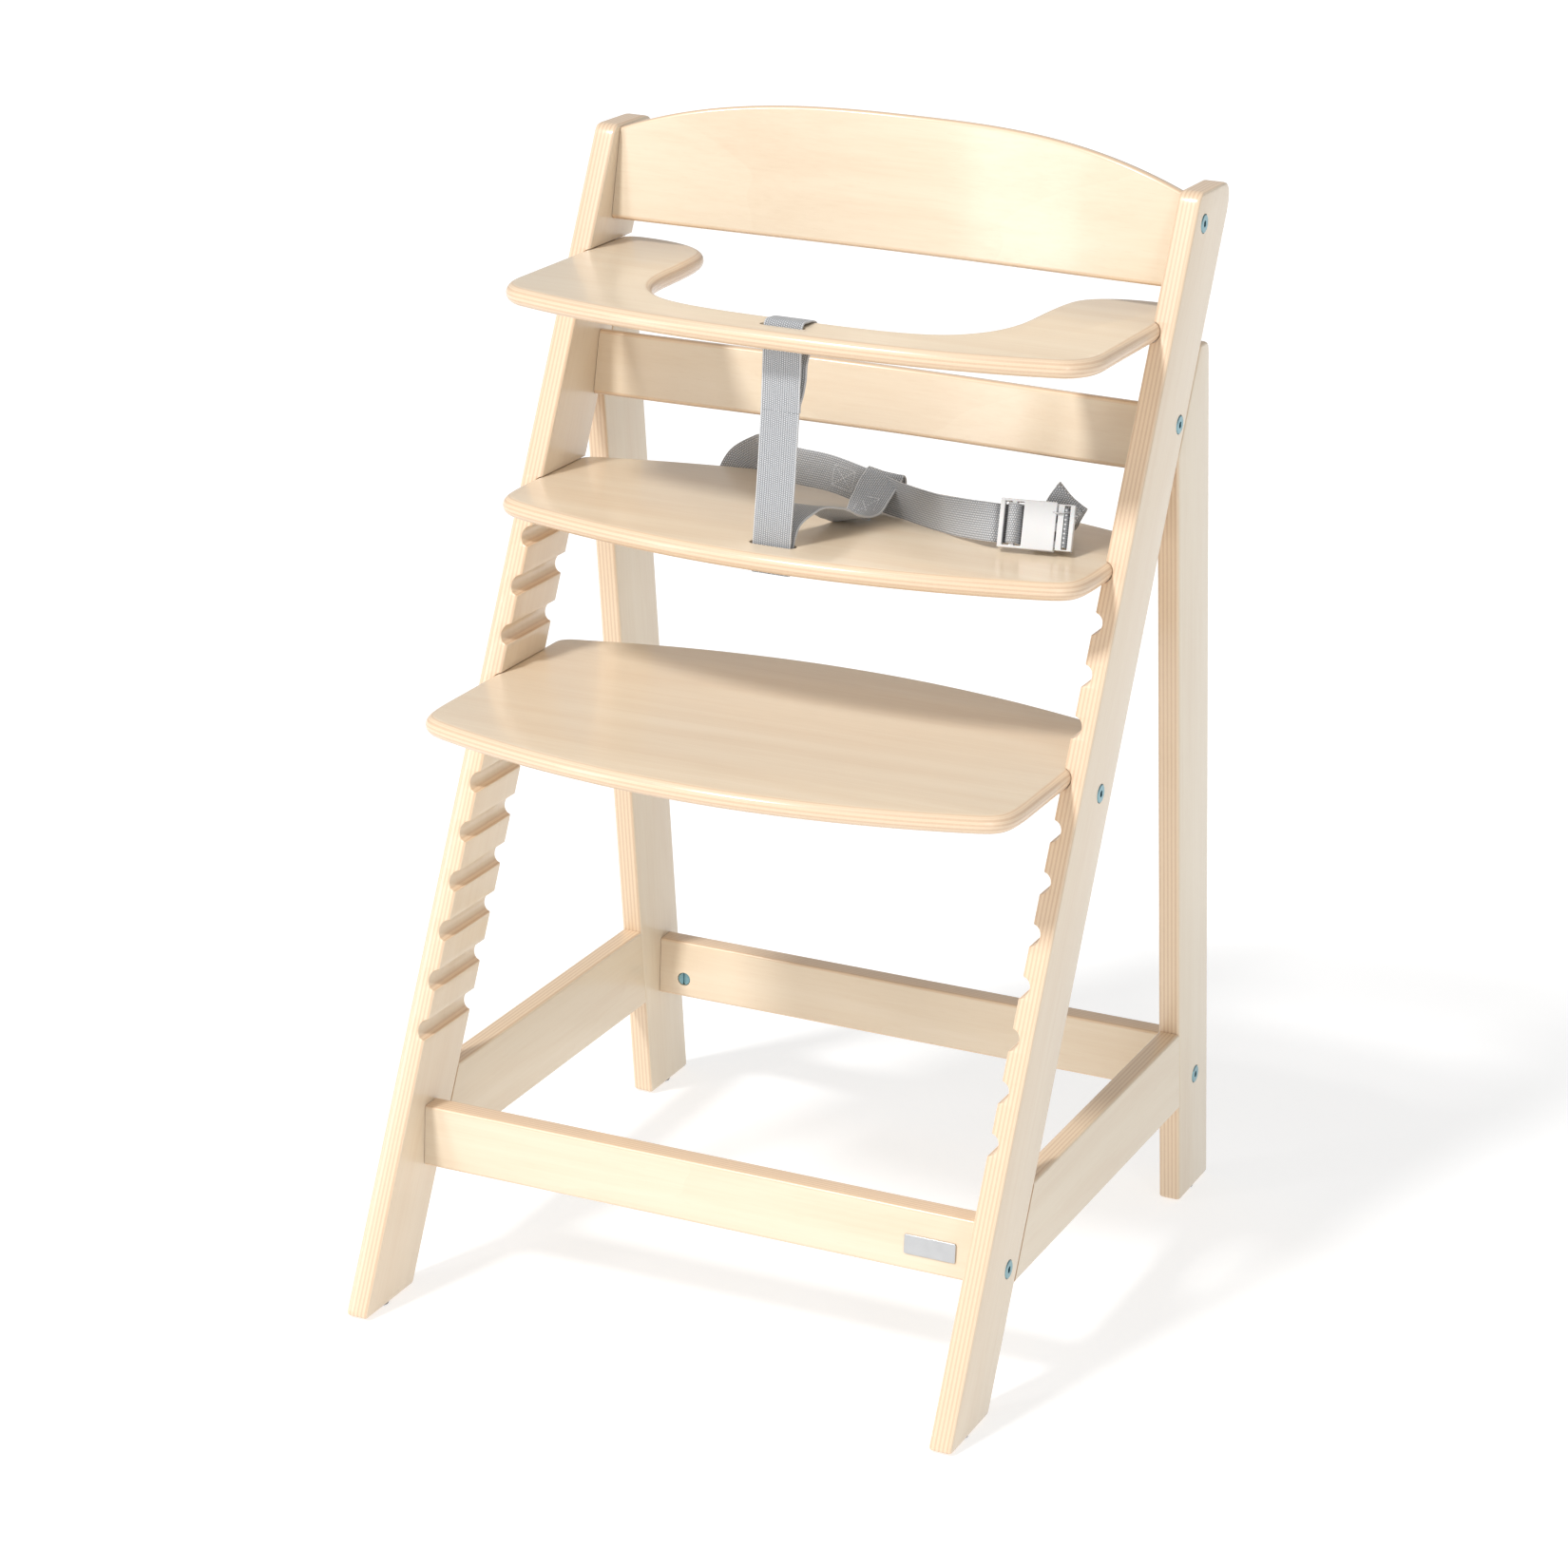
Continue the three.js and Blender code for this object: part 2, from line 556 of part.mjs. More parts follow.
// ---- Webbing ------------------------------------------------------------------------------------------
const trayTop = TRAY_HEIGHT + BOARD / 2;
const trayUnder = TRAY_HEIGHT - BOARD / 2;
const STRAP_JOIN = 638; // height where the sewn ends of the tray strap's loop meet its single lower run
const X = [1, 0, 0];
const UP = [0, 0, 1];
const STOPPER = { halfLength: 19, halfDepth: 7, height: 4.6 };
const belowStopper = seatUnder - STOPPER.height - 2.5;
const trayRest = GAP + WEB_THICK / 2; // from the tray's surface to the middle of webbing lying on it
const joined = TRAY_STRAP_Y + WEB_THICK + GAP; // the rear layer where it is sewn to the front one

// From the join up through the tray's slot, over the inner strip and down again to the join.
const loopPath = [
  [TRAY_STRAP_Y, STRAP_JOIN + GAP], [TRAY_STRAP_Y, trayUnder - 12], [TRAY_SLOT.y, TRAY_HEIGHT - 2],
  [TRAY_SLOT.y + 0.2, trayTop - 1], [TRAY_SLOT.y + 3, trayTop + 2.2], [TRAY_SLOT.y + 10, trayTop + 2.1],
  [TRAY_INNER - 6.5, trayTop + trayRest], [TRAY_INNER - 0.8, trayTop - 1.2], [TRAY_INNER + 1.5, TRAY_HEIGHT],
  [TRAY_INNER - 1.4, trayUnder + 0.6], [TRAY_INNER - 8, trayUnder - 5], [TRAY_INNER - 14, trayUnder - 13],
  [TRAY_INNER - 15, trayUnder - 24], [TRAY_INNER - 19, trayUnder - 34], [joined, STRAP_JOIN + 5],
  [joined, STRAP_JOIN + GAP],
];
addMesh(
  "tray_strap_loop",
  strap(loopPath.map(([y, z]) => [TRAY_SLOT.x, y, z]), loopPath.map(() => X), 44),
  webbing(),
);
addMesh(
  "tray_strap_tail",
  strap(
    [
      [SEAT_SLOT.x, TRAY_STRAP_Y, belowStopper], [SEAT_SLOT.x, TRAY_STRAP_Y, seatTop + 2],
      [2, TRAY_STRAP_Y, 592], [TRAY_SLOT.x, TRAY_STRAP_Y, STRAP_JOIN],
    ],
    Array(4).fill(X), 10,
  ),
  webbing(),
);
// The crotch strap rises from the same slot and arches back to the waist strap.
addMesh(
  "crotch_strap",
  strap(
    [
      [SEAT_SLOT.x, CROTCH_STRAP_Y, belowStopper], [SEAT_SLOT.x, CROTCH_STRAP_Y, seatUnder + 2],
      [SEAT_SLOT.x, CROTCH_STRAP_Y, seatUnder + 8],
      [3, CROTCH_STRAP_Y + 6, seatTop + 14], [9.5, -65, seatTop + 22], [17, -46, seatTop + 18],
      [24, -27, seatTop + 8], [29, -11, seatTop + 3.8], [33, 4, seatTop + 9],
    ],
    [X, X, X, X, [1, 0.15, 0], [1, 0.3, 0], [1, 0.3, 0], [1, 0.4, 0.1], [1, 0.5, 0.2]], 22,
  ),
  webbing(),
);
// A bar slider under the seat keeps both straps from pulling out of the slot.
const stopperSlot = (y) => {
  const half = [WEB / 2 + GAP, WEB_THICK / 2 + GAP];
  return box(
    [SEAT_SLOT.x - half[0], y - half[1], seatUnder - 2 * STOPPER.height],
    [SEAT_SLOT.x + half[0], y + half[1], seatUnder],
  );
};
const stopper = cut(
  box(
    [SEAT_SLOT.x - STOPPER.halfLength, SEAT_SLOT.y - STOPPER.halfDepth, seatUnder - GAP - STOPPER.height],
    [SEAT_SLOT.x + STOPPER.halfLength, SEAT_SLOT.y + STOPPER.halfDepth, seatUnder - GAP],
  ),
  [stopperSlot(TRAY_STRAP_Y), stopperSlot(CROTCH_STRAP_Y)],
);
addMesh("strap_stopper", stopper, greyPlastic());

// The waist strap's two ends are screwed under the seat and come up over its back edge.
const ANCHOR_X = 110;
const underWeb = seatUnder - GAP - WEB_THICK / 2;
// A place on the buckle's long axis, measured from its middle, and the direction across its webbing.
const alongBuckle = (d) => {
  const { x, y, z, yaw } = BUCKLE;
  return [x + d * Math.cos(yaw), y + d * Math.sin(yaw), z];
};
const acrossBuckle = [
  -Math.sin(BUCKLE.yaw) * Math.sin(BUCKLE.lean), Math.cos(BUCKLE.yaw) * Math.sin(BUCKLE.lean),
  Math.cos(BUCKLE.lean),
];
const seatRear = SEAT.rear - (SEAT.rear - SEAT.rearEnd) * (ANCHOR_X / BOW_REAR_X) ** 2; // above the anchors
const anchorScrewY = seatRear - 23;
// From the anchor under the seat to the seat's back edge, on one side.
const anchorRun = (side) => [
  [side * ANCHOR_X, seatRear - 32, underWeb],
  [side * ANCHOR_X, seatRear - 12, underWeb],
  [side * ANCHOR_X, seatRear - 5, underWeb - 0.4],
  [side * ANCHOR_X, seatRear + 2.5, seatUnder + 1.5],
];
addMesh(
  "waist_strap_left",
  strap(
    [
      ...anchorRun(-1), [1 - ANCHOR_X, seatRear + 5.5, seatTop - 4], [-102, 91.4, seatTop + 6],
      [-87, 76, seatTop + 14], [-66, 53, seatTop + 19.5], [-40, 33, seatTop + 22.5],
      [-10, 34, seatTop + 19.5], [15, 34, seatTop + 15.5], [40, 21, seatTop + 15], [70, 2, seatTop + 15],
      [100, -9, seatTop + 15.4], alongBuckle(-33), alongBuckle(-25.8),
    ],
    [X, X, X, X, [1, 0, 0.1], [0.9, 0, 0.5], [0.5, 0, 0.9], [0.1, 0, 1], UP, UP, UP, UP, UP, [0, 0.1, 1],
      acrossBuckle, acrossBuckle],
    44,
  ),
  webbing(),
);
addMesh(
  "waist_strap_right",
  strap(
    [
      alongBuckle(25.8), alongBuckle(31), [196, -3, BUCKLE.z + 1], [191, 9, BUCKLE.z - 1],
      [174, 19, seatTop + 10], [154, 35, seatTop + 4.4], [135, 57, seatTop + 2.2], [119, 78, seatTop + 4],
      [ANCHOR_X + 2, seatRear + 7, seatTop - 2.5], ...anchorRun(1).reverse(),
    ],
    [acrossBuckle, acrossBuckle, [0, 0.2, 1], [0.1, 0.35, 0.9], [0.5, 0.6, 0.6], [0.75, 0.65, 0.1],
      [0.8, 0.6, 0], [0.95, 0.3, 0], X, X, X, X, X],
    44,
  ),
  webbing(),
);

// A pan-head screw and its washer hold each end of the waist strap.
function anchorScrew() {
  const washer = 8;
  const under = -GAP;
  const profile = [
    [0, under - 3.6], [3.2, under - 3.6], [4.4, under - 2.6], [4.4, under - 1.2], [washer, under - 1.2],
    [washer, under], [0, under],
  ];
  return new THREE.LatheGeometry(profile.map(([r, h]) => new THREE.Vector2(r, h)), 12).rotateX(Math.PI / 2);
}
for (const side of [-1, 1]) {
  const mesh = addMesh(`anchor_screw_${sideName(side)}`, anchorScrew(), zinc());
  mesh.position.set(side * ANCHOR_X, anchorScrewY, underWeb - WEB_THICK / 2);
}

// ---- Side-release buckle ------------------------------------------------------------------------------
// Its own frame: x along the strap from the ladder end, y through its thickness, z across the webbing.
const buckle = new THREE.Group();
buckle.position.set(BUCKLE.x, BUCKLE.y, BUCKLE.z);
buckle.rotation.order = "ZXY";
buckle.rotation.set(-BUCKLE.lean, 0, BUCKLE.yaw);
chair.add(buckle);

const LADDER_END = -25;
const MOUTH = 13; // open end of the socket
const PLUG_END = 25;
const slotHalf = WEB / 2 + 0.8;
const slab = (x0, x1, thick, low, high) => box([x0, -thick / 2, low], [x1, thick / 2, high]);

function buckleSocket() {
  const half = BUCKLE_HALF;
  return cut(slab(LADDER_END, MOUTH, BUCKLE_THICK, -half, half), [
    slab(LADDER_END + 3, LADDER_END + 8, 20, -slotHalf, slotHalf), // outer strap slot
    slab(LADDER_END + 11, LADDER_END + 16, 20, -slotHalf, slotHalf), // inner strap slot
    slab(-6, MOUTH + 1, BUCKLE_THICK - 3, -half + 2.2, half - 2.2), // cavity, open at the mouth
    slab(-1, MOUTH + 1, BUCKLE_THICK - 3, -half - 1, half + 1), // side openings for the arms
  ]);
}

function bucklePlug() {
  const half = BUCKLE_HALF;
  const base = solid(slab(MOUTH + 1, PLUG_END, BUCKLE_THICK - 1.5, -half + 1, half - 1));
  const tongue = solid(slab(-4, MOUTH + 2, BUCKLE_THICK - 4.5, -3, 3));
  const stubSpan = (side) => sorted(side * 9.4, side * 13.8);
  const stub = (side) => solid(slab(MOUTH - 1.5, MOUTH + 2, BUCKLE_THICK - 4.5, ...stubSpan(side)));
  const strapSlot = solid(slab(PLUG_END - 7, PLUG_END - 3, 20, -slotHalf, slotHalf));
  return geometryOf(base.add(tongue).add(stub(-1)).add(stub(1)).subtract(strapSlot));
}

// A springy arm of the plug, from its root at the plug's base to its barb, shouldered where it is pressed.
function buckleArm(side) {
  const root = MOUTH - 1.5 - GAP;
  const outline = roundedShape([
    [root, 9.6, 0], [root, 13.6, 0], [8, 16.2, 2], [1.2, 15.6, 1.5], [0.6, 13.2, 0.8], [-3.6, 11.2, 1],
    [-3.4, 9, 0.8], [4, 10.6, 1.5],
  ]);
  const thick = BUCKLE_THICK - 4.5;
  const options = { depth: thick, bevelEnabled: false, curveSegments: 4 };
  const geometry = new THREE.ExtrudeGeometry(outline, options);
  geometry.rotateX(Math.PI / 2).translate(0, thick / 2, 0);
  return side > 0 ? geometry : geometry.rotateX(Math.PI);
}

addMesh("buckle_socket", buckleSocket(), whitePlastic(), buckle);
addMesh("buckle_plug", bucklePlug(), whitePlastic(), buckle);
addMesh("buckle_arm_upper", buckleArm(1), whitePlastic(), buckle);
addMesh("buckle_arm_lower", buckleArm(-1), whitePlastic(), buckle);

export default chair;
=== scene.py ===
"""Looks of the wooden stair high chair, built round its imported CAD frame. Metres, +Z up, front towards -Y."""

import math

import bmesh
import bpy
from mathutils import Matrix, Vector


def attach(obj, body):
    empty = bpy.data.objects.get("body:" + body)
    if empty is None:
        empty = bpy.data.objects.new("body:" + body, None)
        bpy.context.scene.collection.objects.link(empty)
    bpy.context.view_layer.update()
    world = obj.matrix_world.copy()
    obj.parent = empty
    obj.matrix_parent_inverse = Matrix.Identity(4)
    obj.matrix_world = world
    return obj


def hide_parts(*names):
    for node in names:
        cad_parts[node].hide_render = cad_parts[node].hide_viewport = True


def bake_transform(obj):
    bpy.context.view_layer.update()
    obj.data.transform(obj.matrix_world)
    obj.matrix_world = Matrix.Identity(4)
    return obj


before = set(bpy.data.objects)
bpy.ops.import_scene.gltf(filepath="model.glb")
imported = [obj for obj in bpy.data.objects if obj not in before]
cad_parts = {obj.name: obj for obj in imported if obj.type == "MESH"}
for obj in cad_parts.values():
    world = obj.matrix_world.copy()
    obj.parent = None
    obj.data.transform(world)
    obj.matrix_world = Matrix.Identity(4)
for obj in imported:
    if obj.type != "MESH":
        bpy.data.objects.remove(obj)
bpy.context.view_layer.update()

# ---- Camera -------------------------------------------------------------------------------------------
CAMERA_PLACE = Vector((1.1261, -2.7120, 1.3405))
CAMERA_AZIMUTH = math.radians(22.962)
CAMERA_ELEVATION = math.radians(18.647)
CAMERA_ROLL = math.radians(2.192)

back = Vector((
    math.sin(CAMERA_AZIMUTH) * math.cos(CAMERA_ELEVATION),
    -math.cos(CAMERA_AZIMUTH) * math.cos(CAMERA_ELEVATION),
    math.sin(CAMERA_ELEVATION),
))
level = Vector((math.cos(CAMERA_AZIMUTH), math.sin(CAMERA_AZIMUTH), 0))
upright_axis = back.cross(level)
right = math.cos(CAMERA_ROLL) * level + math.sin(CAMERA_ROLL) * upright_axis
above = -math.sin(CAMERA_ROLL) * level + math.cos(CAMERA_ROLL) * upright_axis

camera = bpy.data.objects.new("camera", bpy.data.cameras.new("camera"))
camera.data.lens = 101.763
camera.data.sensor_width = 36
camera.data.clip_end = 30
camera.matrix_world = Matrix((
    (right.x, above.x, back.x, CAMERA_PLACE.x),
    (right.y, above.y, back.y, CAMERA_PLACE.y),
    (right.z, above.z, back.z, CAMERA_PLACE.z),
    (0, 0, 0, 1),
))
bpy.context.scene.collection.objects.link(camera)
bpy.context.scene.camera = camera

# ---- Dimensions shared with the frame -----------------------------------------------------------------
MM = 0.001
HALF = 0.225
PLANK = 0.016
INNER = HALF - PLANK
FRONT = -0.2645
LEAN = 0.457
RUN = 0.0693
TOP = 0.778
FOOT = 0.0013
LEG_LEAN = -0.201
LEG_RUN = 0.0646
LEG_TOP = 0.671
LEG_BACK = 0.2645
GROOVES = [0.1875 + 0.032 * k for k in range(12)] + [0.689]
GROOVE_RADIUS = 0.0069
GROOVE_CENTRE = INNER - 0.0005
BOARD = 0.013
SEAT_Z, FOOTREST_Z, TRAY_Z = 0.5395, 0.4115, 0.689
BOARD_HALF = 0.215
SEAT_TOP = SEAT_Z + BOARD / 2
SEAT_UNDER = SEAT_Z - BOARD / 2
SIDES = {"left": -1, "right": 1}


def front_edge(z):
    return FRONT + LEAN * z


def rear_edge(z):
    return front_edge(z) + RUN


def leg_rear(z):
    return LEG_BACK + LEG_LEAN * z


def leg_front(z):
    return leg_rear(z) - LEG_RUN


# ---- Materials ----------------------------------------------------------------------------------------
class Shader:
    """A node material, built up by short calls."""

    def __init__(self, name):
        self.material = bpy.data.materials.new(name)
        self.material.use_nodes = True
        self.tree = self.material.node_tree
        self.surface = self.tree.nodes["Principled BSDF"]

    def node(self, kind, **values):
        node = self.tree.nodes.new("ShaderNode" + kind)
        for key, value in values.items():
            setattr(node, key, value)
        return node

    def link(self, out, into):
        self.tree.links.new(out, into)

    def plug(self, socket, value):
        """Joins an output to a socket, or sets the socket to a plain value."""
        if isinstance(value, bpy.types.NodeSocket):
            self.link(value, socket)
        else:
            socket.default_value = value

    def math(self, operation, a, b=0.0, clamp=False):
        node = self.node("Math", operation=operation, use_clamp=clamp)
        self.plug(node.inputs[0], a)
        self.plug(node.inputs[1], b)
        return node.outputs[0]

    def scaled(self, vector, scale, rotation=(0, 0, 0)):
        node = self.node("Mapping")
        self.plug(node.inputs["Vector"], vector)
        node.inputs["Rotation"].default_value = rotation
        node.inputs["Scale"].default_value = scale
        return node.outputs[0]

    def noise(self, vector, scale, detail=4.0, roughness=0.55, distortion=0.0):
        node = self.node("TexNoise")
        self.plug(node.inputs["Vector"], vector)
        node.inputs["Scale"].default_value = scale
        node.inputs["Detail"].default_value = detail
        node.inputs["Roughness"].default_value = roughness
        node.inputs["Distortion"].default_value = distortion
        return node.outputs["Fac"]

    def ramp(self, value, stops):
        """stops: [(place, (r, g, b)), ...]"""
        node = self.node("ValToRGB")
        self.plug(node.inputs[0], value)
        elements = node.color_ramp.elements
        while len(elements) < len(stops):
            elements.new(0.5)
        for element, (place, colour) in zip(elements, stops):
            element.position = place
            element.color = (*colour, 1)
        return node.outputs[0]

    def mix(self, share, a, b, blend="MIX"):
        node = self.node("Mix", data_type="RGBA", blend_type=blend)
        self.plug(node.inputs[0], share)
        self.plug(node.inputs[6], a if isinstance(a, bpy.types.NodeSocket) else (*a, 1))
        self.plug(node.inputs[7], b if isinstance(b, bpy.types.NodeSocket) else (*b, 1))
        return node.outputs[2]

    def bump(self, height, strength, distance):
        node = self.node("Bump")
        node.inputs["Strength"].default_value = strength
        node.inputs["Distance"].default_value = distance
        self.plug(node.inputs["Height"], height)
        self.link(node.outputs[0], self.surface.inputs["Normal"])

    def set(self, **values):
        for key, value in values.items():
            self.plug(self.surface.inputs[key.replace("_", " ")], value)


def span(shader, value, low, high):
    """0 below low, 1 above high, smooth between."""
    node = shader.node("MapRange", interpolation_type="SMOOTHSTEP", clamp=True)
    shader.plug(node.inputs["Value"], value)
    node.inputs["From Min"].default_value = low
    node.inputs["From Max"].default_value = high
    return node.outputs[0]


PLY = 0.00145  # thickness of one veneer
FACE_WOOD = [(0.28, (0.75, 0.60, 0.44)), (0.52, (0.80, 0.675, 0.515)), (0.78, (0.84, 0.725, 0.58))]


def birch(name, grain, through, ply_from=0.0, painted_light_tint=(1, 1, 1)):
    """Varnished birch plywood. grain is the direction of the fibres, through the axis across the veneers:
    "X", measured outwards from ply_from, or "PLY", with the depth stored in the mesh."""
    s = Shader(name)
    place = s.node("TexCoord").outputs["Object"]
    along = Vector(grain).normalized()
    turn = along.to_track_quat("X", "Z").to_matrix().inverted().to_euler()
    turned = s.scaled(place, (1, 1, 1), turn)
    broad = s.noise(s.scaled(turned, (1.6, 14, 14)), 2.2, 5, 0.55, 0.6)
    fibres = s.noise(s.scaled(turned, (9, 420, 420)), 1.0, 3, 0.6)
    flecks = s.noise(s.scaled(turned, (60, 900, 900)), 1.0, 2, 0.5)
    rings = s.node("TexWave", wave_type="BANDS", bands_direction="Y", wave_profile="SAW")
    s.plug(rings.inputs["Vector"], s.scaled(turned, (0.7, 5, 3)))
    rings.inputs["Scale"].default_value = 2.4
    rings.inputs["Distortion"].default_value = 7.0
    rings.inputs["Detail"].default_value = 3.0
    rings.inputs["Detail Scale"].default_value = 0.7
    tone = s.math("ADD", s.math("MULTIPLY", broad, 0.62), s.math("MULTIPLY", fibres, 0.26))
    tone = s.math("ADD", tone, s.math("MULTIPLY", rings.outputs["Fac"], 0.06))
    face = s.ramp(tone, FACE_WOOD)
    face = s.mix(s.math("MULTIPLY", span(s, flecks, 0.60, 0.72), 0.10), face, (0.62, 0.44, 0.27))

    if through == "PLY":
        depth = s.node("Attribute", attribute_name="ply").outputs["Fac"]
        edge = s.node("Attribute", attribute_name="edge").outputs["Fac"]
    else:
        parts = s.node("SeparateXYZ")
        s.link(place, parts.inputs[0])
        depth = s.math("SUBTRACT", s.math("ABSOLUTE", parts.outputs[through]), ply_from)
        facing = s.node("SeparateXYZ")
        s.link(s.node("NewGeometry").outputs["Normal"], facing.inputs[0])
        edge = span(s, s.math("ABSOLUTE", facing.outputs[through]), 0.93, 0.55)
    waver = s.math("MULTIPLY", s.math("SUBTRACT", s.noise(place, 30, 2), 0.5), 0.00035)
    layer = s.math("DIVIDE", s.math("ADD", depth, waver), PLY)
    parity = s.math("PINGPONG", layer, 1.0)
    end_grain = span(s, parity, 0.38, 0.62)
    joint = s.math("SUBTRACT", 1.0, span(s, s.math("PINGPONG", layer, 0.5), 0.0, 0.12))
    speckle = s.noise(s.scaled(place, (700, 700, 260)), 1.0, 3, 0.7)
    pale = s.mix(s.math("MULTIPLY", speckle, 0.4), (0.84, 0.655, 0.47), (0.74, 0.53, 0.35))
    dark = s.mix(s.math("MULTIPLY", speckle, 0.8), (0.70, 0.475, 0.315), (0.52, 0.32, 0.19))
    layers = s.mix(s.math("MULTIPLY", end_grain, 0.62), pale, dark)
    layers = s.mix(s.math("MULTIPLY", joint, 0.35), layers, (0.50, 0.33, 0.21))
    colour = s.mix(s.math("MULTIPLY", edge, 0.85), face, layers)
    # Multiplies in painted light: a cooler, slightly darker cast that stands in for the glare and fill on the
    # legs and side rails.
    colour = s.mix(1.0, colour, painted_light_tint, "MULTIPLY")
    s.set(Base_Color=colour, Roughness=0.40, Coat_Weight=0.55, Coat_Roughness=0.17, IOR=1.45)
    grit = s.math("ADD", s.math("MULTIPLY", fibres, 0.7), s.math("MULTIPLY", flecks, 0.3))
    s.bump(grit, 0.10, 0.0002)
    return s.material


UP_GRAIN = (0, LEAN, 1)
birch_upright = birch("birch_upright", UP_GRAIN, "X", INNER)
# The legs and side rails are tinted cooler and a little darker: painted light for the neutral glare and fill on
# their faces.
birch_leg = birch("birch_leg", (0, LEG_LEAN, 1), "X", INNER, (0.96, 0.98, 0.985))
birch_side_rail = birch("birch_side_rail", (0, 1, 0), "X", INNER, (0.97, 0.98, 0.97))
birch_rail = birch("birch_rail", (1, 0, 0), "PLY")
birch_back = birch("birch_back", (1, 0, 0), "PLY")
birch_board = birch("birch_board", (1, 0, 0), "PLY")


def metal(name, colour, roughness, brushed=False):
    s = Shader(name)
    place = s.node("TexCoord").outputs["Object"]
    scale = (40, 40, 2600) if brushed else (900, 900, 900)
    haze = s.noise(s.scaled(place, scale), 1.0, 4, 0.6)
    patches = s.noise(place, 120, 3)
    tone = s.mix(s.math("MULTIPLY", patches, 0.5), colour, tuple(c * 0.72 for c in colour))
    rough = s.math("ADD", roughness, s.math("MULTIPLY", s.math("SUBTRACT", haze, 0.5), 0.28))
    s.set(Base_Color=tone, Metallic=1.0, Roughness=rough)
    s.bump(haze, 0.12, 0.00008)
    return s.material


zinc = metal("zinc", (0.24, 0.42, 0.47), 0.30)
plate_steel = metal("plate_steel", (0.62, 0.63, 0.645), 0.34, brushed=True)


def plastic(name, colour, roughness):
    s = Shader(name)
    place = s.node("TexCoord").outputs["Object"]
    grain = s.noise(place, 2600, 2, 0.5)
    cloud = s.noise(place, 70, 3)
    tone = s.mix(s.math("MULTIPLY", cloud, 0.35), colour, tuple(c * 0.9 for c in colour))
    rough = s.math("ADD", roughness, s.math("MULTIPLY", grain, 0.1))
    s.set(Base_Color=tone, Roughness=rough, Subsurface_Weight=0.06, Subsurface_Scale=0.002)
    s.bump(grain, 0.08, 0.00005)
    return s.material


white_plastic = plastic("white_plastic", (0.74, 0.75, 0.765), 0.30)
grey_plastic = plastic("grey_plastic", (0.20, 0.21, 0.22), 0.45)


def beech_dowel():
    s = Shader("beech_dowel")
    place = s.node("TexCoord").outputs["Object"]
    fibres = s.noise(s.scaled(place, (20, 700, 700)), 1.0, 4)
    s.set(Base_Color=s.ramp(fibres, [(0.3, (0.45, 0.27, 0.13)), (0.7, (0.66, 0.45, 0.26))]), Roughness=0.7)
    s.bump(fibres, 0.3, 0.0002)
    return s.material


YARN_WIDE, YARN_LONG = 0.00155, 0.0013
# Dark in the gaps between yarns, light on their crowns: painted shade and painted highlight over the weave.
YARN_LIT_AND_SHADED_TONES = [(0.12, (0.17, 0.18, 0.195)), (0.5, (0.46, 0.475, 0.50)), (0.88, (0.76, 0.775, 0.80))]
SELVEDGE = (0.0125, 0.0134)  # distance from the middle at which the denser selvedge starts and is full


def weave():
    """Light grey webbing: diagonal yarns between denser selvedges. UV is in metres, U across, V along."""
    s = Shader("grey_webbing")
    uv = s.node("UVMap").outputs["UV"]
    parts = s.node("SeparateXYZ")
    s.link(uv, parts.inputs[0])
    across, along = parts.outputs["X"], parts.outputs["Y"]
    column = s.math("DIVIDE", across, YARN_WIDE)
    stagger = s.math("MULTIPLY", s.math("FLOOR", column), 0.5)
    row = s.math("ADD", s.math("DIVIDE", along, YARN_LONG), stagger)
    crown_u = s.math("PINGPONG", column, 0.5)
    crown_v = s.math("PINGPONG", row, 0.5)
    yarn = s.math("MULTIPLY", span(s, crown_u, 0.02, 0.34), span(s, crown_v, 0.02, 0.36))
    fuzz = s.noise(s.scaled(uv, (5200, 5200, 1)), 1.0, 3, 0.6)
    cloud = s.noise(s.scaled(uv, (160, 60, 1)), 1.0, 3)
    tone = s.math("ADD", s.math("MULTIPLY", yarn, 0.62), s.math("MULTIPLY", fuzz, 0.38))
    # Yarn crowns are painted light and the gaps between them dark: painted highlight and painted shade.
    colour = s.ramp(tone, YARN_LIT_AND_SHADED_TONES)
    colour = s.mix(s.math("MULTIPLY", cloud, 0.18), colour, (0.44, 0.455, 0.48))
    edge = span(s, s.math("ABSOLUTE", across), *SELVEDGE)
    colour = s.mix(s.math("MULTIPLY", edge, 0.5), colour, (0.80, 0.81, 0.825))
    s.set(Base_Color=colour, Roughness=0.86, Sheen_Weight=0.25, Sheen_Roughness=0.5)
    s.bump(s.math("ADD", yarn, s.math("MULTIPLY", fuzz, 0.25)), 0.75, 0.00035)
    return s.material


def thread():
    s = Shader("sewing_thread")
    place = s.node("TexCoord").outputs["Object"]
    twist = s.noise(s.scaled(place, (4000, 4000, 1500)), 1.0, 2)
    s.set(Base_Color=s.ramp(twist, [(0.3, (0.55, 0.56, 0.58)), (0.7, (0.78, 0.79, 0.81))]), Roughness=0.7)
    s.bump(twist, 0.4, 0.0001)
    return s.material


webbing = weave()
stitching = thread()
beech = beech_dowel()


# ---- Mesh helpers -------------------------------------------------------------------------------------
def add_object(name, bm, material, angle=40):
    """A new object from a bmesh, shaded smooth except at edges sharper than the angle."""
    bmesh.ops.recalc_face_normals(bm, faces=bm.faces)
    mesh = bpy.data.meshes.new(name)
    bm.to_mesh(mesh)
    bm.free()
    obj = bpy.data.objects.new(name, mesh)
    bpy.context.scene.collection.objects.link(obj)
    mesh.materials.append(material)
    mesh.polygons.foreach_set("use_smooth", [True] * len(mesh.polygons))
    mesh.set_sharp_from_angle(angle=math.radians(angle))
    return obj


def apply_modifiers(obj):
    evaluated = obj.evaluated_get(bpy.context.evaluated_depsgraph_get())
    mesh = bpy.data.meshes.new_from_object(evaluated)
    obj.modifiers.clear()
    old = obj.data
    obj.data = mesh
    bpy.data.meshes.remove(old)


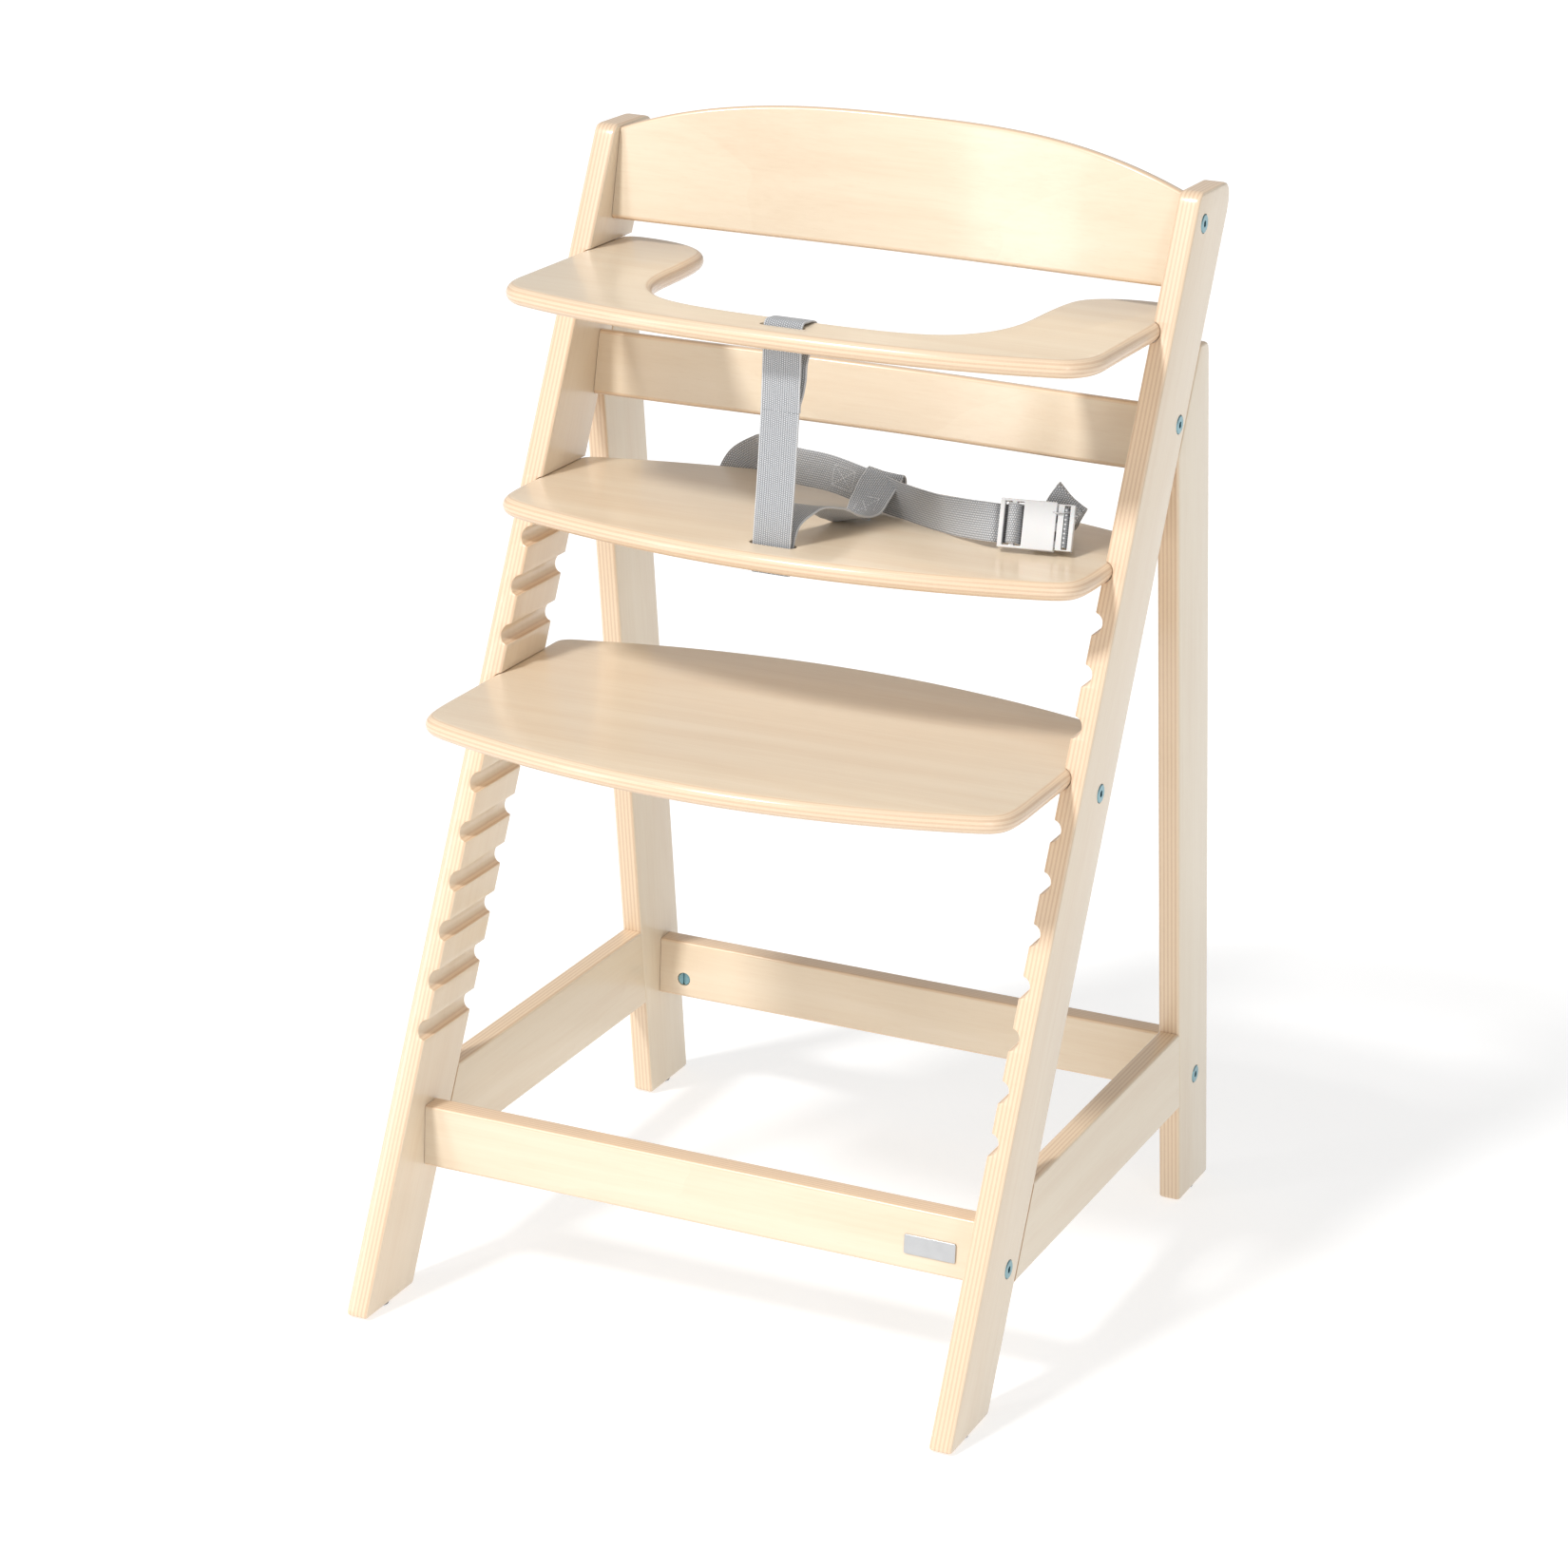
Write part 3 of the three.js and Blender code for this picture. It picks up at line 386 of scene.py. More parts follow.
def carve(obj, tools):
    """Cuts the tool objects out of obj, and removes them."""
    for tool in tools:
        cut = obj.modifiers.new("cut", "BOOLEAN")
        cut.operation = "DIFFERENCE"
        cut.solver = "EXACT"
        cut.object = tool
    bpy.context.view_layer.update()
    apply_modifiers(obj)
    for tool in tools:
        bpy.data.objects.remove(tool)
    obj.data.set_sharp_from_angle(angle=math.radians(40))


def loft(rows):
    """A bmesh from rows of points. Each row is a ring; the first and last rows are capped."""
    bm = bmesh.new()
    rings = [[bm.verts.new(p) for p in row] for row in rows]
    count = len(rows[0])
    for low, high in zip(rings, rings[1:]):
        for k in range(count):
            n = (k + 1) % count
            bm.faces.new((low[k], low[n], high[n], high[k]))
    bm.faces.new(rings[0][::-1])
    bm.faces.new(rings[-1])
    return bm


def rod_tool(axis, start, end, radius, centre, segments=40):
    """A cylinder along X, Y or Z, as an object to cut with."""
    rows = []
    for t in (start, end):
        ring = []
        for i in range(segments):
            a = 2 * math.pi * i / segments
            u, v = centre[0] + radius * math.cos(a), centre[1] + radius * math.sin(a)
            ring.append({"X": (t, u, v), "Y": (u, t, v), "Z": (u, v, t)}[axis])
        rows.append(ring)
    return add_object("tool", loft(rows), zinc)


def finished(obj, body, slot, *nodes):
    """Hands a finished piece to the frame."""
    if nodes:
        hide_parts(*nodes)
    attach(obj, body)
    return obj


# ---- Side frames --------------------------------------------------------------------------------------
EASE = 0.0024  # rounding of the planks' long edges


def rounded_ring(x0, x1, y0, y1, r_outer, r_inner, steps=5):
    """A plank's cross-section at one height: x0 is the grooved inner side, x1 the outer side."""
    sx = 1 if x1 > x0 else -1
    corners = [
        ((x1 - sx * r_outer, y0 + r_outer), r_outer, (0, -1), (1, 0)),
        ((x1 - sx * r_outer, y1 - r_outer), r_outer, (1, 0), (0, 1)),
        ((x0 + sx * r_inner, y1 - r_inner), r_inner, (0, 1), (-1, 0)),
        ((x0 + sx * r_inner, y0 + r_inner), r_inner, (-1, 0), (0, -1)),
    ]
    ring = []
    for (cx, cy), r, start, end in corners:
        for i in range(steps + 1):
            a = math.pi / 2 * i / steps
            dx = start[0] * math.cos(a) + end[0] * math.sin(a)
            dy = start[1] * math.cos(a) + end[1] * math.sin(a)
            ring.append((cx + sx * r * dx, cy + r * dy))
    return ring


def inner_profile():
    """(z, inner x, lip) stations of an upright's grooved face, from the bottom to the top."""
    lip = 0.0006
    half = math.sqrt(GROOVE_RADIUS ** 2 - (INNER - GROOVE_CENTRE) ** 2)
    stations = [(FOOT, INNER)]
    for centre in GROOVES:
        stations += [(centre - half - 6 * lip, INNER), (centre - half - lip, INNER)]
        stations.append((centre - half - 0.3 * lip, INNER + 0.3 * lip))
        start = math.asin(half / GROOVE_RADIUS)
        first = start * 0.93
        for i in range(19):
            a = -first + 2 * first * i / 18
            up, out = GROOVE_RADIUS * math.sin(a), GROOVE_RADIUS * math.cos(a)
            stations.append((centre + up, GROOVE_CENTRE + out))
        stations.append((centre + half + 0.3 * lip, INNER + 0.3 * lip))
        stations += [(centre + half + lip, INNER), (centre + half + 6 * lip, INNER)]
    return stations


TOP_FRONT, TOP_REAR = 0.011, 0.017  # corner radii at the top of an upright
FOOT_ROUND = 0.0035


def corner_shift(distance, reach_up, reach_along):
    """How far an edge is drawn in at a distance from its rounded corner's height."""
    if distance >= reach_up:
        return 0.0
    u = math.sqrt(max(0.0, distance) / reach_up)
    return reach_along * (1 - u) ** 2


def reach(radius, lean):
    """Length of a rounded corner along its sloping edge, upwards and along the level edge."""
    half_angle = (math.pi / 2 + math.atan(lean)) / 2
    back_off = radius / math.tan(half_angle)
    return back_off * math.cos(math.atan(lean)), back_off


def plank_rows(stations, front, rear, top, bottom, lean_front, lean_rear, radii, side, x_outer):
    """Rings for a sloping plank from (z, inner x) stations, drawn in round its four end corners."""
    top_front, top_rear, foot_front, foot_rear = radii
    up_tf, in_tf = reach(top_front, lean_front)
    up_tr, in_tr = reach(top_rear, -lean_rear)
    up_ff, in_ff = reach(foot_front, -lean_front)
    up_fr, in_fr = reach(foot_rear, lean_rear)
    rows = []
    for z, x_in in stations:
        y0 = front(z) + corner_shift(top - z, up_tf, in_tf) + corner_shift(z - bottom, up_ff, in_ff)
        y1 = rear(z) - corner_shift(top - z, up_tr, in_tr) - corner_shift(z - bottom, up_fr, in_fr)
        end = min(top - z, z - bottom)
        rim = 0.0 if end > EASE else EASE - math.sqrt(max(0.0, EASE ** 2 - (EASE - end) ** 2))
        groove = min(1.0, (x_in - INNER) / 0.001)
        r_inner = EASE * 0.75 * (1 - 0.6 * groove)
        ring = rounded_ring(side * (x_in + rim), side * (x_outer - rim), y0, y1, EASE, r_inner)
        rows.append([(x, y, z) for x, y in ring])
    return rows


def end_stations(z_from, z_to, closeness, count=14):
    """Heights that crowd towards z_to, for a rounded end."""
    return [z_from + (z_to - z_from) * (1 - (1 - i / count) ** closeness) for i in range(1, count + 1)]


HEAD_RADIUS = 0.0065
HOLE_RADIUS = 0.0068
HEAD_OUT = 0.0006
PANEL_LEAN = 0.1684
PANEL = 0.012
UPPER = {"y": 0.087, "z": 0.7125, "height": 0.0645, "rise": 0.030, "sag": 0.022, "bolt": 0.045}
LOWER = {"y": 0.064, "z": 0.590, "height": 0.046, "rise": 0.0, "sag": 0.018, "bolt": 0.034}
TIE_ROD = (-0.042, 0.394)
RAIL_BOLT_Z = 0.098
FRONT_RAIL = {"y": -0.171, "bottom": 0.0865}
REAR_RAIL = {"y": 0.216, "bottom": 0.0835}


def panel_point(panel, up):
    return (
        panel["y"] + math.sin(PANEL_LEAN) * up + PANEL / 2 * math.cos(PANEL_LEAN),
        panel["z"] + math.cos(PANEL_LEAN) * up - PANEL / 2 * math.sin(PANEL_LEAN),
    )


UPRIGHT_BOLTS = {
    "bolt_upper_backrest": panel_point(UPPER, UPPER["bolt"]),
    "bolt_lower_backrest": panel_point(LOWER, LOWER["bolt"]),
    "bolt_tie_rod": TIE_ROD,
    "bolt_front_rail": (FRONT_RAIL["y"], RAIL_BOLT_Z),
}
LEG_BOLTS = {"bolt_rear_rail": (REAR_RAIL["y"], RAIL_BOLT_Z)}


def bolt_holes(side, bolts):
    """Tools for the counterbores in a plank's outer face."""
    start, end = side * (HALF - 0.0024), side * (HALF + 0.002)
    return [rod_tool("X", start, end, HOLE_RADIUS, place) for place in bolts.values()]


FOOT_STATIONS = [FOOT + 0.012 * (i / 10) ** 2 for i in range(1, 11)]  # crowded towards the floor


def make_upright(name, side):
    stations = inner_profile()
    heights = [(z, INNER) for z in FOOT_STATIONS]
    last = stations[-1][0]
    top = [(last + 0.01, INNER)] + [(z, INNER) for z in end_stations(last + 0.012, TOP, 2.2, 26)]
    rows = plank_rows(
        [stations[0], *heights, *stations[1:], *top], front_edge, rear_edge, TOP, FOOT, LEAN, LEAN,
        (TOP_FRONT, TOP_REAR, FOOT_ROUND, FOOT_ROUND), side, HALF,
    )
    obj = add_object(f"plank_upright_{name}", loft(rows), birch_upright)
    carve(obj, bolt_holes(side, UPRIGHT_BOLTS))
    return finished(obj, "frame", "birch_frame", f"upright_{name}")


def leg_touch(z):
    """The leg's front edge: against the upright above the seam's foot, its own slope below."""
    return max(leg_front(z), rear_edge(z) + 0.0003)


def make_leg(name, side):
    seam = (leg_front(0) - rear_edge(0) - 0.0003) / (LEAN - LEG_LEAN)
    heights = [FOOT, *FOOT_STATIONS]
    heights += [0.1, 0.2, 0.3, 0.4, 0.5, seam - 0.002, seam, seam + 0.002, 0.63]
    heights += end_stations(0.64, LEG_TOP, 2.0, 24)
    rows = plank_rows(
        [(z, INNER) for z in heights], leg_touch, leg_rear, LEG_TOP, FOOT, LEG_LEAN, LEG_LEAN,
        (0.0004, 0.012, FOOT_ROUND, FOOT_ROUND), side, HALF,
    )
    obj = add_object(f"plank_back_leg_{name}", loft(rows), birch_leg)
    carve(obj, bolt_holes(side, LEG_BOLTS))
    return finished(obj, "frame", "birch_frame", f"back_leg_{name}")


def make_side_rail(name, side):
    bottom, top = 0.082, 0.145
    steps = 5
    rows = []
    for z, inset in [
        *[(bottom + EASE * (1 - math.cos(math.pi / 2 * i / steps)),
           EASE * (1 - math.sin(math.pi / 2 * i / steps))) for i in range(steps + 1)],
        *[(top - EASE * (1 - math.sin(math.pi / 2 * i / steps)),
           EASE * (1 - math.cos(math.pi / 2 * i / steps))) for i in range(steps + 1)],
    ]:
        y0, y1 = rear_edge(z) + 0.0003, leg_front(z) - 0.0003
        x0, x1 = side * (INNER + inset), side * (HALF - inset)
        rows.append([(x0, y0, z), (x1, y0, z), (x1, y1, z), (x0, y1, z)])
    obj = add_object(f"plank_side_rail_{name}", loft(rows), birch_side_rail)
    return finished(obj, "frame", "birch_frame", f"side_rail_{name}")


for side_name, side_sign in SIDES.items():
    make_upright(side_name, side_sign)
    make_leg(side_name, side_sign)
    make_side_rail(side_name, side_sign)


# ---- Cross rails and back boards ----------------------------------------------------------------------
RAIL_END = INNER - 0.0003
RAIL = 0.018
RAIL_HEIGHT = 0.045
NUT_X = INNER - 0.0205
NUT_RADIUS = 0.005


def board_ring(depth, low, high, radius, steps=6):
    """(depth, height) points round a board's rounded cross-section."""
    ring = []
    for cy, cz, start in [
        (radius, low + radius, math.pi), (depth - radius, low + radius, 1.5 * math.pi),
        (depth - radius, high - radius, 0.0), (radius, high - radius, 0.5 * math.pi),
    ]:
        for i in range(steps + 1):
            a = start + math.pi / 2 * i / steps
            ring.append((cy + radius * math.cos(a), cz + radius * math.sin(a)))
    return ring


def ply_object(name, rows, values, material, angle=40):
    """A lofted board whose points keep their depth through the veneers, and 1 where they are on an edge."""
    bm = loft(rows)
    ply = bm.verts.layers.float.new("ply")
    edge = bm.verts.layers.float.new("edge")
    for vert, (depth, on_edge) in zip(bm.verts, values):
        vert[ply] = depth
        vert[edge] = on_edge
    return add_object(name, bm, material, angle)


def make_cross_rail(name, rail, nuts_face):
    radius = 0.0022
    rows, values = [], []
    for x in (-RAIL_END, -RAIL_END / 2, 0, RAIL_END / 2, RAIL_END):
        ring = board_ring(RAIL, 0, RAIL_HEIGHT, radius)
        rows.append([(x, rail["y"] - RAIL / 2 + d, rail["bottom"] + z) for d, z in ring])
        for d, z in ring:
            near = min(z, RAIL_HEIGHT - z)
            values.append((d, 1.0 if near < radius * 0.75 else 0.0))
    obj = ply_object(f"rail_{name}", rows, values, birch_rail)
    face = rail["y"] + nuts_face * RAIL / 2
    tools = [
        rod_tool("Y", *sorted((face + nuts_face * 0.002, face - nuts_face * 0.0145)), NUT_RADIUS + 0.0003,
                 (side * NUT_X, RAIL_BOLT_Z))
        for side in SIDES.values()
    ]
    carve(obj, tools)
    return finished(obj, "frame", "birch_frame", name)


make_cross_rail("front_rail", FRONT_RAIL, 1)
make_cross_rail("rear_rail", REAR_RAIL, -1)


def make_backrest(name, panel):
    radius = 0.0032
    stations = 72
    lean = Matrix.Rotation(-PANEL_LEAN, 3, "X")
    rows, values = [], []
    for i in range(stations + 1):
        x = -RAIL_END + 2 * RAIL_END * i / stations
        share = abs(x) / RAIL_END
        bow = panel["sag"] * (0.5 + 0.5 * math.cos(math.pi * share))
        top = panel["height"] + panel["rise"] * (1 - share ** 2.8)
        row = []
        for d, z in board_ring(PANEL, 0, top, radius):
            turned = lean @ Vector((0, bow + d, z))
            row.append((x, panel["y"] + turned.y, panel["z"] + turned.z))
            near = min(z, top - z)
            values.append((d, 1.0 if near < radius * 0.8 else 0.0))
        rows.append(row)
    obj = ply_object(f"board_{name}", rows, values, birch_back)
    return finished(obj, "frame", "birch_frame", name)


make_backrest("upper_backrest", UPPER)
make_backrest("lower_backrest", LOWER)


# ---- Tray, seat and footrest --------------------------------------------------------------------------
def quad(a, b, c, count):
    a, b, c = Vector(a), Vector(b), Vector(c)
    return [a.lerp(b, t).lerp(b.lerp(c, t), t) for t in [i / count for i in range(1, count + 1)]]


def cubic(a, b, c, d, count):
    a, b, c, d = (Vector(p) for p in (a, b, c, d))
    points = []
    for i in range(1, count + 1):
        t = i / count
        ab, bc, cd = a.lerp(b, t), b.lerp(c, t), c.lerp(d, t)
        points.append(ab.lerp(bc, t).lerp(bc.lerp(cd, t), t))
    return points


def mirrored(half):
    """The whole outline from its right half, which starts and ends on the centre line."""
    return half + [Vector((-p.x, p.y)) for p in reversed(half[1:-1])]


def bowed_outline(rear, rear_end, front, front_end, taper_from):
    corner_x, rear_x, turn = 191, 196, 17
    wide = BOARD_HALF / MM
    outline = quad((-corner_x, front_end), (0, 2 * front - front_end), (corner_x, front_end), 48)[23:]
    corner = (corner_x, front_end)
    outline += cubic(corner, (212, front_end + 8), (wide - 0.6, taper_from - 32), (wide, taper_from), 22)
    outline += [Vector((wide, taper_from + (rear_end - turn - taper_from) * i / 10)) for i in range(1, 11)]
    outline += quad((wide, rear_end - turn), (wide, rear_end - 4), (rear_x, rear_end), 14)
    outline += quad((rear_x, rear_end), (0, 2 * rear - rear_end), (-rear_x, rear_end), 48)[:24]
    return mirrored(outline)


def tray_outline():
    wide = BOARD_HALF / MM
    outline = [Vector((0, -114))]
    outline += quad((0, -114), (118, -114.5), (190, -89), 26)
    outline += cubic((190, -89), (203, -86), (wide, -76), (wide, -50), 16)
    outline += [Vector((wide, -50 + 152 * i / 12)) for i in range(1, 13)]
    outline += quad((wide, 102), (wide, 120), (196, 120), 12)
    outline += cubic((196, 120), (172, 120), (150, 112), (140, 95), 18)
    outline += cubic((140, 95), (134, 84), (133, 60), (132, 20), 12)
    outline += cubic((132, 20), (131, -10), (124, -34), (104, -51), 16)
    outline += cubic((104, -51), (84, -66), (50, -67), (0, -67), 20)
    return mirrored(outline)


ROUND_UNTIL = 0.93  # share of the half thickness up to which a rounded edge shows its veneers


def make_board(name, outline, height, body, slot_at=None):
    """A board with fully rounded edges, and a strap slot at slot_at = (x, y, half length, half width)."""
    count = len(outline)
    radius = BOARD / 2
    inward = []
    for i in range(count):
        along = (outline[(i + 1) % count] - outline[i - 1]).normalized()
        inward.append(Vector((-along.y, along.x)))
    rows, values = [], []
    steps = 16
    for k in range(steps + 1):
        a = -math.pi / 2 + math.pi * k / steps
        inset = radius * (1 - math.cos(a)) / MM
        z = height + radius * math.sin(a)
        row = []
        for p, n in zip(outline, inward):
            row.append(((p.x + n.x * inset) * MM, (p.y + n.y * inset) * MM, z))
        rows.append(row)
        values += [(z - height + radius, 1.0 if abs(math.sin(a)) < ROUND_UNTIL else 0.0)] * count
    obj = ply_object(f"plywood_{name}", rows, values, birch_board, 60)
    if slot_at:
        x, y, half_length, half_width = slot_at
        straight = half_length - half_width
        rows = []
        for z in (height - BOARD, height + BOARD):
            ring = []
            for end in (1, -1):
                for i in range(13):
                    a = -math.pi / 2 + math.pi * i / 12
                    along, across = straight + half_width * math.cos(a), half_width * math.sin(a)
                    ring.append((x + end * along, y + end * across, z))
            rows.append(ring)
        carve(obj, [add_object("tool", loft(rows), zinc)])
    return finished(obj, body, "birch_board", name)


SEAT_SLOT = (0.0005, -0.090, 0.017, 0.005)
TRAY_SLOT = (0.003, -0.0925, 0.0165, 0.0034)
make_board("seat_board", bowed_outline(98, 64.5, -119, -86, -40), SEAT_Z, "seat", SEAT_SLOT)
make_board("footrest_board", bowed_outline(68, 34, -231, -196, -150), FOOTREST_Z, "footrest")
make_board("tray_board", tray_outline(), TRAY_Z, "tray", TRAY_SLOT)


# ---- Metal hardware -----------------------------------------------------------------------------------
ROUND = 48  # sides of a bolt head
SHANK_RADIUS, SHANK_END = 0.003, -0.030
HEAD_UNDER = -0.0026
SOCKET_FLAT, SOCKET_DEPTH = 0.0021, -0.0021


def turned_bolt(name, side, place):
    """A low bolt head with an eased rim and a hexagon socket, and its shank."""

    def hexagon(a):
        return SOCKET_FLAT / math.cos((a + math.pi / 6) % (math.pi / 3) - math.pi / 6)

    rings = [
        (lambda a: SHANK_RADIUS, SHANK_END), (lambda a: SHANK_RADIUS, HEAD_UNDER),
        (lambda a: HEAD_RADIUS, HEAD_UNDER),
        (lambda a: HEAD_RADIUS, -0.0007), (lambda a: HEAD_RADIUS - 0.0002, -0.0003),
        (lambda a: HEAD_RADIUS - 0.0007, 0.0), (lambda a: hexagon(a) * 1.14, 0.0),
        (hexagon, -0.0003), (hexagon, SOCKET_DEPTH),
    ]
    rows = []
    for radius, depth in rings:
        row = []
        for i in range(ROUND):
            a = 2 * math.pi * i / ROUND
            r = radius(a)
            x = side * (HALF + HEAD_OUT + depth)
            row.append((x, place[0] + r * math.cos(a), place[1] + r * math.sin(a)))
        rows.append(row)
    obj = add_object(f"hardware_{name}", loft(rows), zinc, 30)
    return finished(obj, "frame", "zinc", name)


def socket_shadow(name, side, place):
    """A dark ring of painted shade at the bottom of a bolt's counterbore, round the head."""
    bm = bmesh.new()
    inner, outer = [], []
    for i in range(ROUND):
        a = 2 * math.pi * i / ROUND
        for ring, r in ((inner, HEAD_RADIUS - 0.0004), (outer, HOLE_RADIUS)):
            y, z = place[0] + r * math.cos(a), place[1] + r * math.sin(a)
            ring.append(bm.verts.new((side * (HALF - 0.0023), y, z)))
    for i in range(ROUND):
        n = (i + 1) % ROUND
        bm.faces.new((inner[i], inner[n], outer[n], outer[i]))
    # The dark grey ring stands in for the shade inside the counterbore: painted shade, not a part.
    obj = add_object(f"counterbore_shade_{name}", bm, grey_plastic)
    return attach(obj, "frame")


for side_name, side_sign in SIDES.items():
    for bolt_name, bolt_place in {**UPRIGHT_BOLTS, **LEG_BOLTS}.items():
        turned_bolt(f"{bolt_name}_{side_name}", side_sign, bolt_place)
        socket_shadow(f"{bolt_name}_{side_name}", side_sign, bolt_place)


def cad_copy(node, prefix, material, bevel, body, slot, segments=3, angle=35):
    """A new piece from a CAD node's shape, with its sharp edges rounded."""
    bm = bmesh.new()
    bm.from_mesh(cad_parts[node].data)
    bmesh.ops.remove_doubles(bm, verts=bm.verts, dist=1e-6)
    bmesh.ops.dissolve_limit(bm, angle_limit=math.radians(2), verts=bm.verts, edges=bm.edges)
    obj = add_object(f"{prefix}_{node}", bm, material, 35)
    rounding = obj.modifiers.new("rounding", "BEVEL")
    rounding.width = bevel
    rounding.segments = segments
    rounding.limit_method = "ANGLE"
    rounding.angle_limit = math.radians(angle)
    apply_modifiers(obj)
    return finished(obj, body, slot, node)


for nut in ("front_rail", "rear_rail", "upper_backrest", "lower_backrest"):
    for side_name in SIDES:
        cad_copy(f"nut_{nut}_{side_name}", "hardware", zinc, 0.0003, "frame", "zinc", 2)
cad_copy("tie_rod", "steel", zinc, 0.0004, "frame", "zinc", 2, 50)
cad_copy("blank_plate", "steel", plate_steel, 0.00025, "frame", "plate", 2)
for side_name in SIDES:
    for end in ("front", "rear"):
        cad_copy(f"glide_{end}_{side_name}", "foot", grey_plastic, 0.0002, "frame", "grey_plastic", 2)
    cad_copy(f"anchor_screw_{side_name}", "hardware", zinc, 0.0003, "seat", "zinc", 2)
    for dowel in ("upper_backrest", "lower_backrest", "front_rail", "rear_rail"):
        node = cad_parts[f"dowel_{dowel}_{side_name}"]
        node.data.materials.clear()
        node.data.materials.append(beech)
cad_copy("strap_stopper", "slider", grey_plastic, 0.0008, "seat", "grey_plastic")
for node, body in [
    ("buckle_socket", "seat"), ("buckle_plug", "buckle_plug"), ("buckle_arm_upper", "buckle_arm_upper"),
    ("buckle_arm_lower", "buckle_arm_lower"),
]:
    cad_copy(node, "moulding", white_plastic, 0.0007, body, "buckle_plastic")


# ---- Webbing ------------------------------------------------------------------------------------------
WEB = 0.028
WAIST_WEB = 0.0264
WEB_THICK = 0.0015


def smooth_path(points, count):
    """Evenly spaced points along a centripetal Catmull-Rom curve, and its length."""
    pts = [Vector(p) for p in points]
    pts = [2 * pts[0] - pts[1], *pts, 2 * pts[-1] - pts[-2]]
    dense = []
    for p0, p1, p2, p3 in zip(pts, pts[1:], pts[2:], pts[3:]):
        t1 = (p1 - p0).length ** 0.5
        t2 = t1 + (p2 - p1).length ** 0.5
        t3 = t2 + (p3 - p2).length ** 0.5
        for i in range(24):
            t = t1 + (t2 - t1) * i / 24
            a1 = p0.lerp(p1, t / t1)
            a2 = p1.lerp(p2, (t - t1) / (t2 - t1))
            a3 = p2.lerp(p3, (t - t2) / (t3 - t2))
            b1 = a1.lerp(a2, t / t2)
            b2 = a2.lerp(a3, (t - t1) / (t3 - t1))
            dense.append(b1.lerp(b2, (t - t1) / (t2 - t1)))
    dense.append(pts[-2])
    lengths = [0.0]
    for a, b in zip(dense, dense[1:]):
        lengths.append(lengths[-1] + (b - a).length)
    spread, j = [], 0
    for i in range(count + 1):
        want = lengths[-1] * i / count
        while j < len(dense) - 2 and lengths[j + 1] < want:
            j += 1
        share = (want - lengths[j]) / max(1e-9, lengths[j + 1] - lengths[j])
        spread.append(dense[j].lerp(dense[j + 1], share))
    return spread, lengths[-1]


def strap_frames(points, widths, count):
    """(place, along, across, out) at even steps along a strap, and its length."""
    centres, length = smooth_path(points, count)
    keys = [Vector(p) for p in points]
    stops = []
    for key in keys:
        stops.append(min(range(len(centres)), key=lambda i: (centres[i] - key).length))
    stops[0], stops[-1] = 0, count
    frames = []
    for i, centre in enumerate(centres):
        along = (centres[min(i + 1, count)] - centres[max(i - 1, 0)]).normalized()
        k = max(n for n in range(len(stops)) if stops[n] <= i)
        n = min(k + 1, len(stops) - 1)
        share = (i - stops[k]) / max(1, stops[n] - stops[k])
        share = share * share * (3 - 2 * share)
        across = Vector(widths[k]).normalized().lerp(Vector(widths[n]).normalized(), share)
        across = (across - across.dot(along) * along).normalized()
        frames.append((centre, along, across, along.cross(across).normalized()))
    return frames, length


# Across a strap's section: (share of the half width, share of the half thickness), round its rim.
SECTION = [(-1, 0), (-0.985, 0.75), (-0.93, 1)]
SECTION += [(-0.93 + 1.86 * i / 8, 1 - 0.06 * (i % 2)) for i in range(1, 8)]
SECTION += [(0.93, 1), (0.985, 0.75), (1, 0)]
SECTION += [(-u, -t) for u, t in SECTION[1:-1]]


def make_strap(name, points, widths, count, width=WEB):
    """A webbing strap swept along a path, and its frames. UV holds metres across and along."""
    frames, length = strap_frames(points, widths, count)
    rows, uvs = [], []
    for i, (centre, _, across, out) in enumerate(frames):
        row, uv = [], []
        for u, t in SECTION:
            row.append(centre + across * (u * width / 2) + out * (t * WEB_THICK / 2))
            uv.append((u * width / 2, length * i / count))
        rows.append(row)
        uvs += uv
    bm = loft(rows)
    bm.verts.ensure_lookup_table()
    layer = bm.loops.layers.uv.new("UVMap")
    bm.verts.index_update()
    for face in bm.faces:
        for loop in face.loops:
            loop[layer].uv = uvs[loop.vert.index]
    return add_object(name, bm, webbing, 60), frames


def make_stitches(name, frames, at, u_from, u_to, along_from, along_to, count_across, count_along):
    """A box of stitches with a cross, on both faces of a strap round its frame number at."""
    bm = bmesh.new()
    centre, along, across, out = frames[at]

    def stitch(a, b):
        for face in (1, -1):
            lift = out * face * (WEB_THICK / 2 + 0.0002)
            start, end = a + lift, b + lift
            way = (end - start).normalized()
            side = way.cross(out) * 0.00035
            crown = out * face * 0.00025
            ring = [start - side, start + side, end + side, end - side]
            low = [bm.verts.new(p) for p in ring]
            top = [bm.verts.new(start + way * 0.0003 + crown), bm.verts.new(end - way * 0.0003 + crown)]
            bm.faces.new((low[0], low[1], top[0]))
            bm.faces.new((low[1], low[2], top[1], top[0]))
            bm.faces.new((low[2], low[3], top[1]))
            bm.faces.new((low[3], low[0], top[0], top[1]))

    def line(start, end, count):
        for i in range(count):
            a, b = (i + 0.15) / count, (i + 0.85) / count
            stitch(start.lerp(end, a), start.lerp(end, b))

    corner = [
        centre + across * u + along * v
        for u, v in ((u_from, along_from), (u_to, along_from), (u_to, along_to), (u_from, along_to))
    ]
    line(corner[0], corner[1], count_across)
    line(corner[1], corner[2], count_along)
    line(corner[2], corner[3], count_across)
    line(corner[3], corner[0], count_along)
    line(corner[0], corner[2], count_across)
    line(corner[1], corner[3], count_across)
    return add_object(name, bm, stitching)


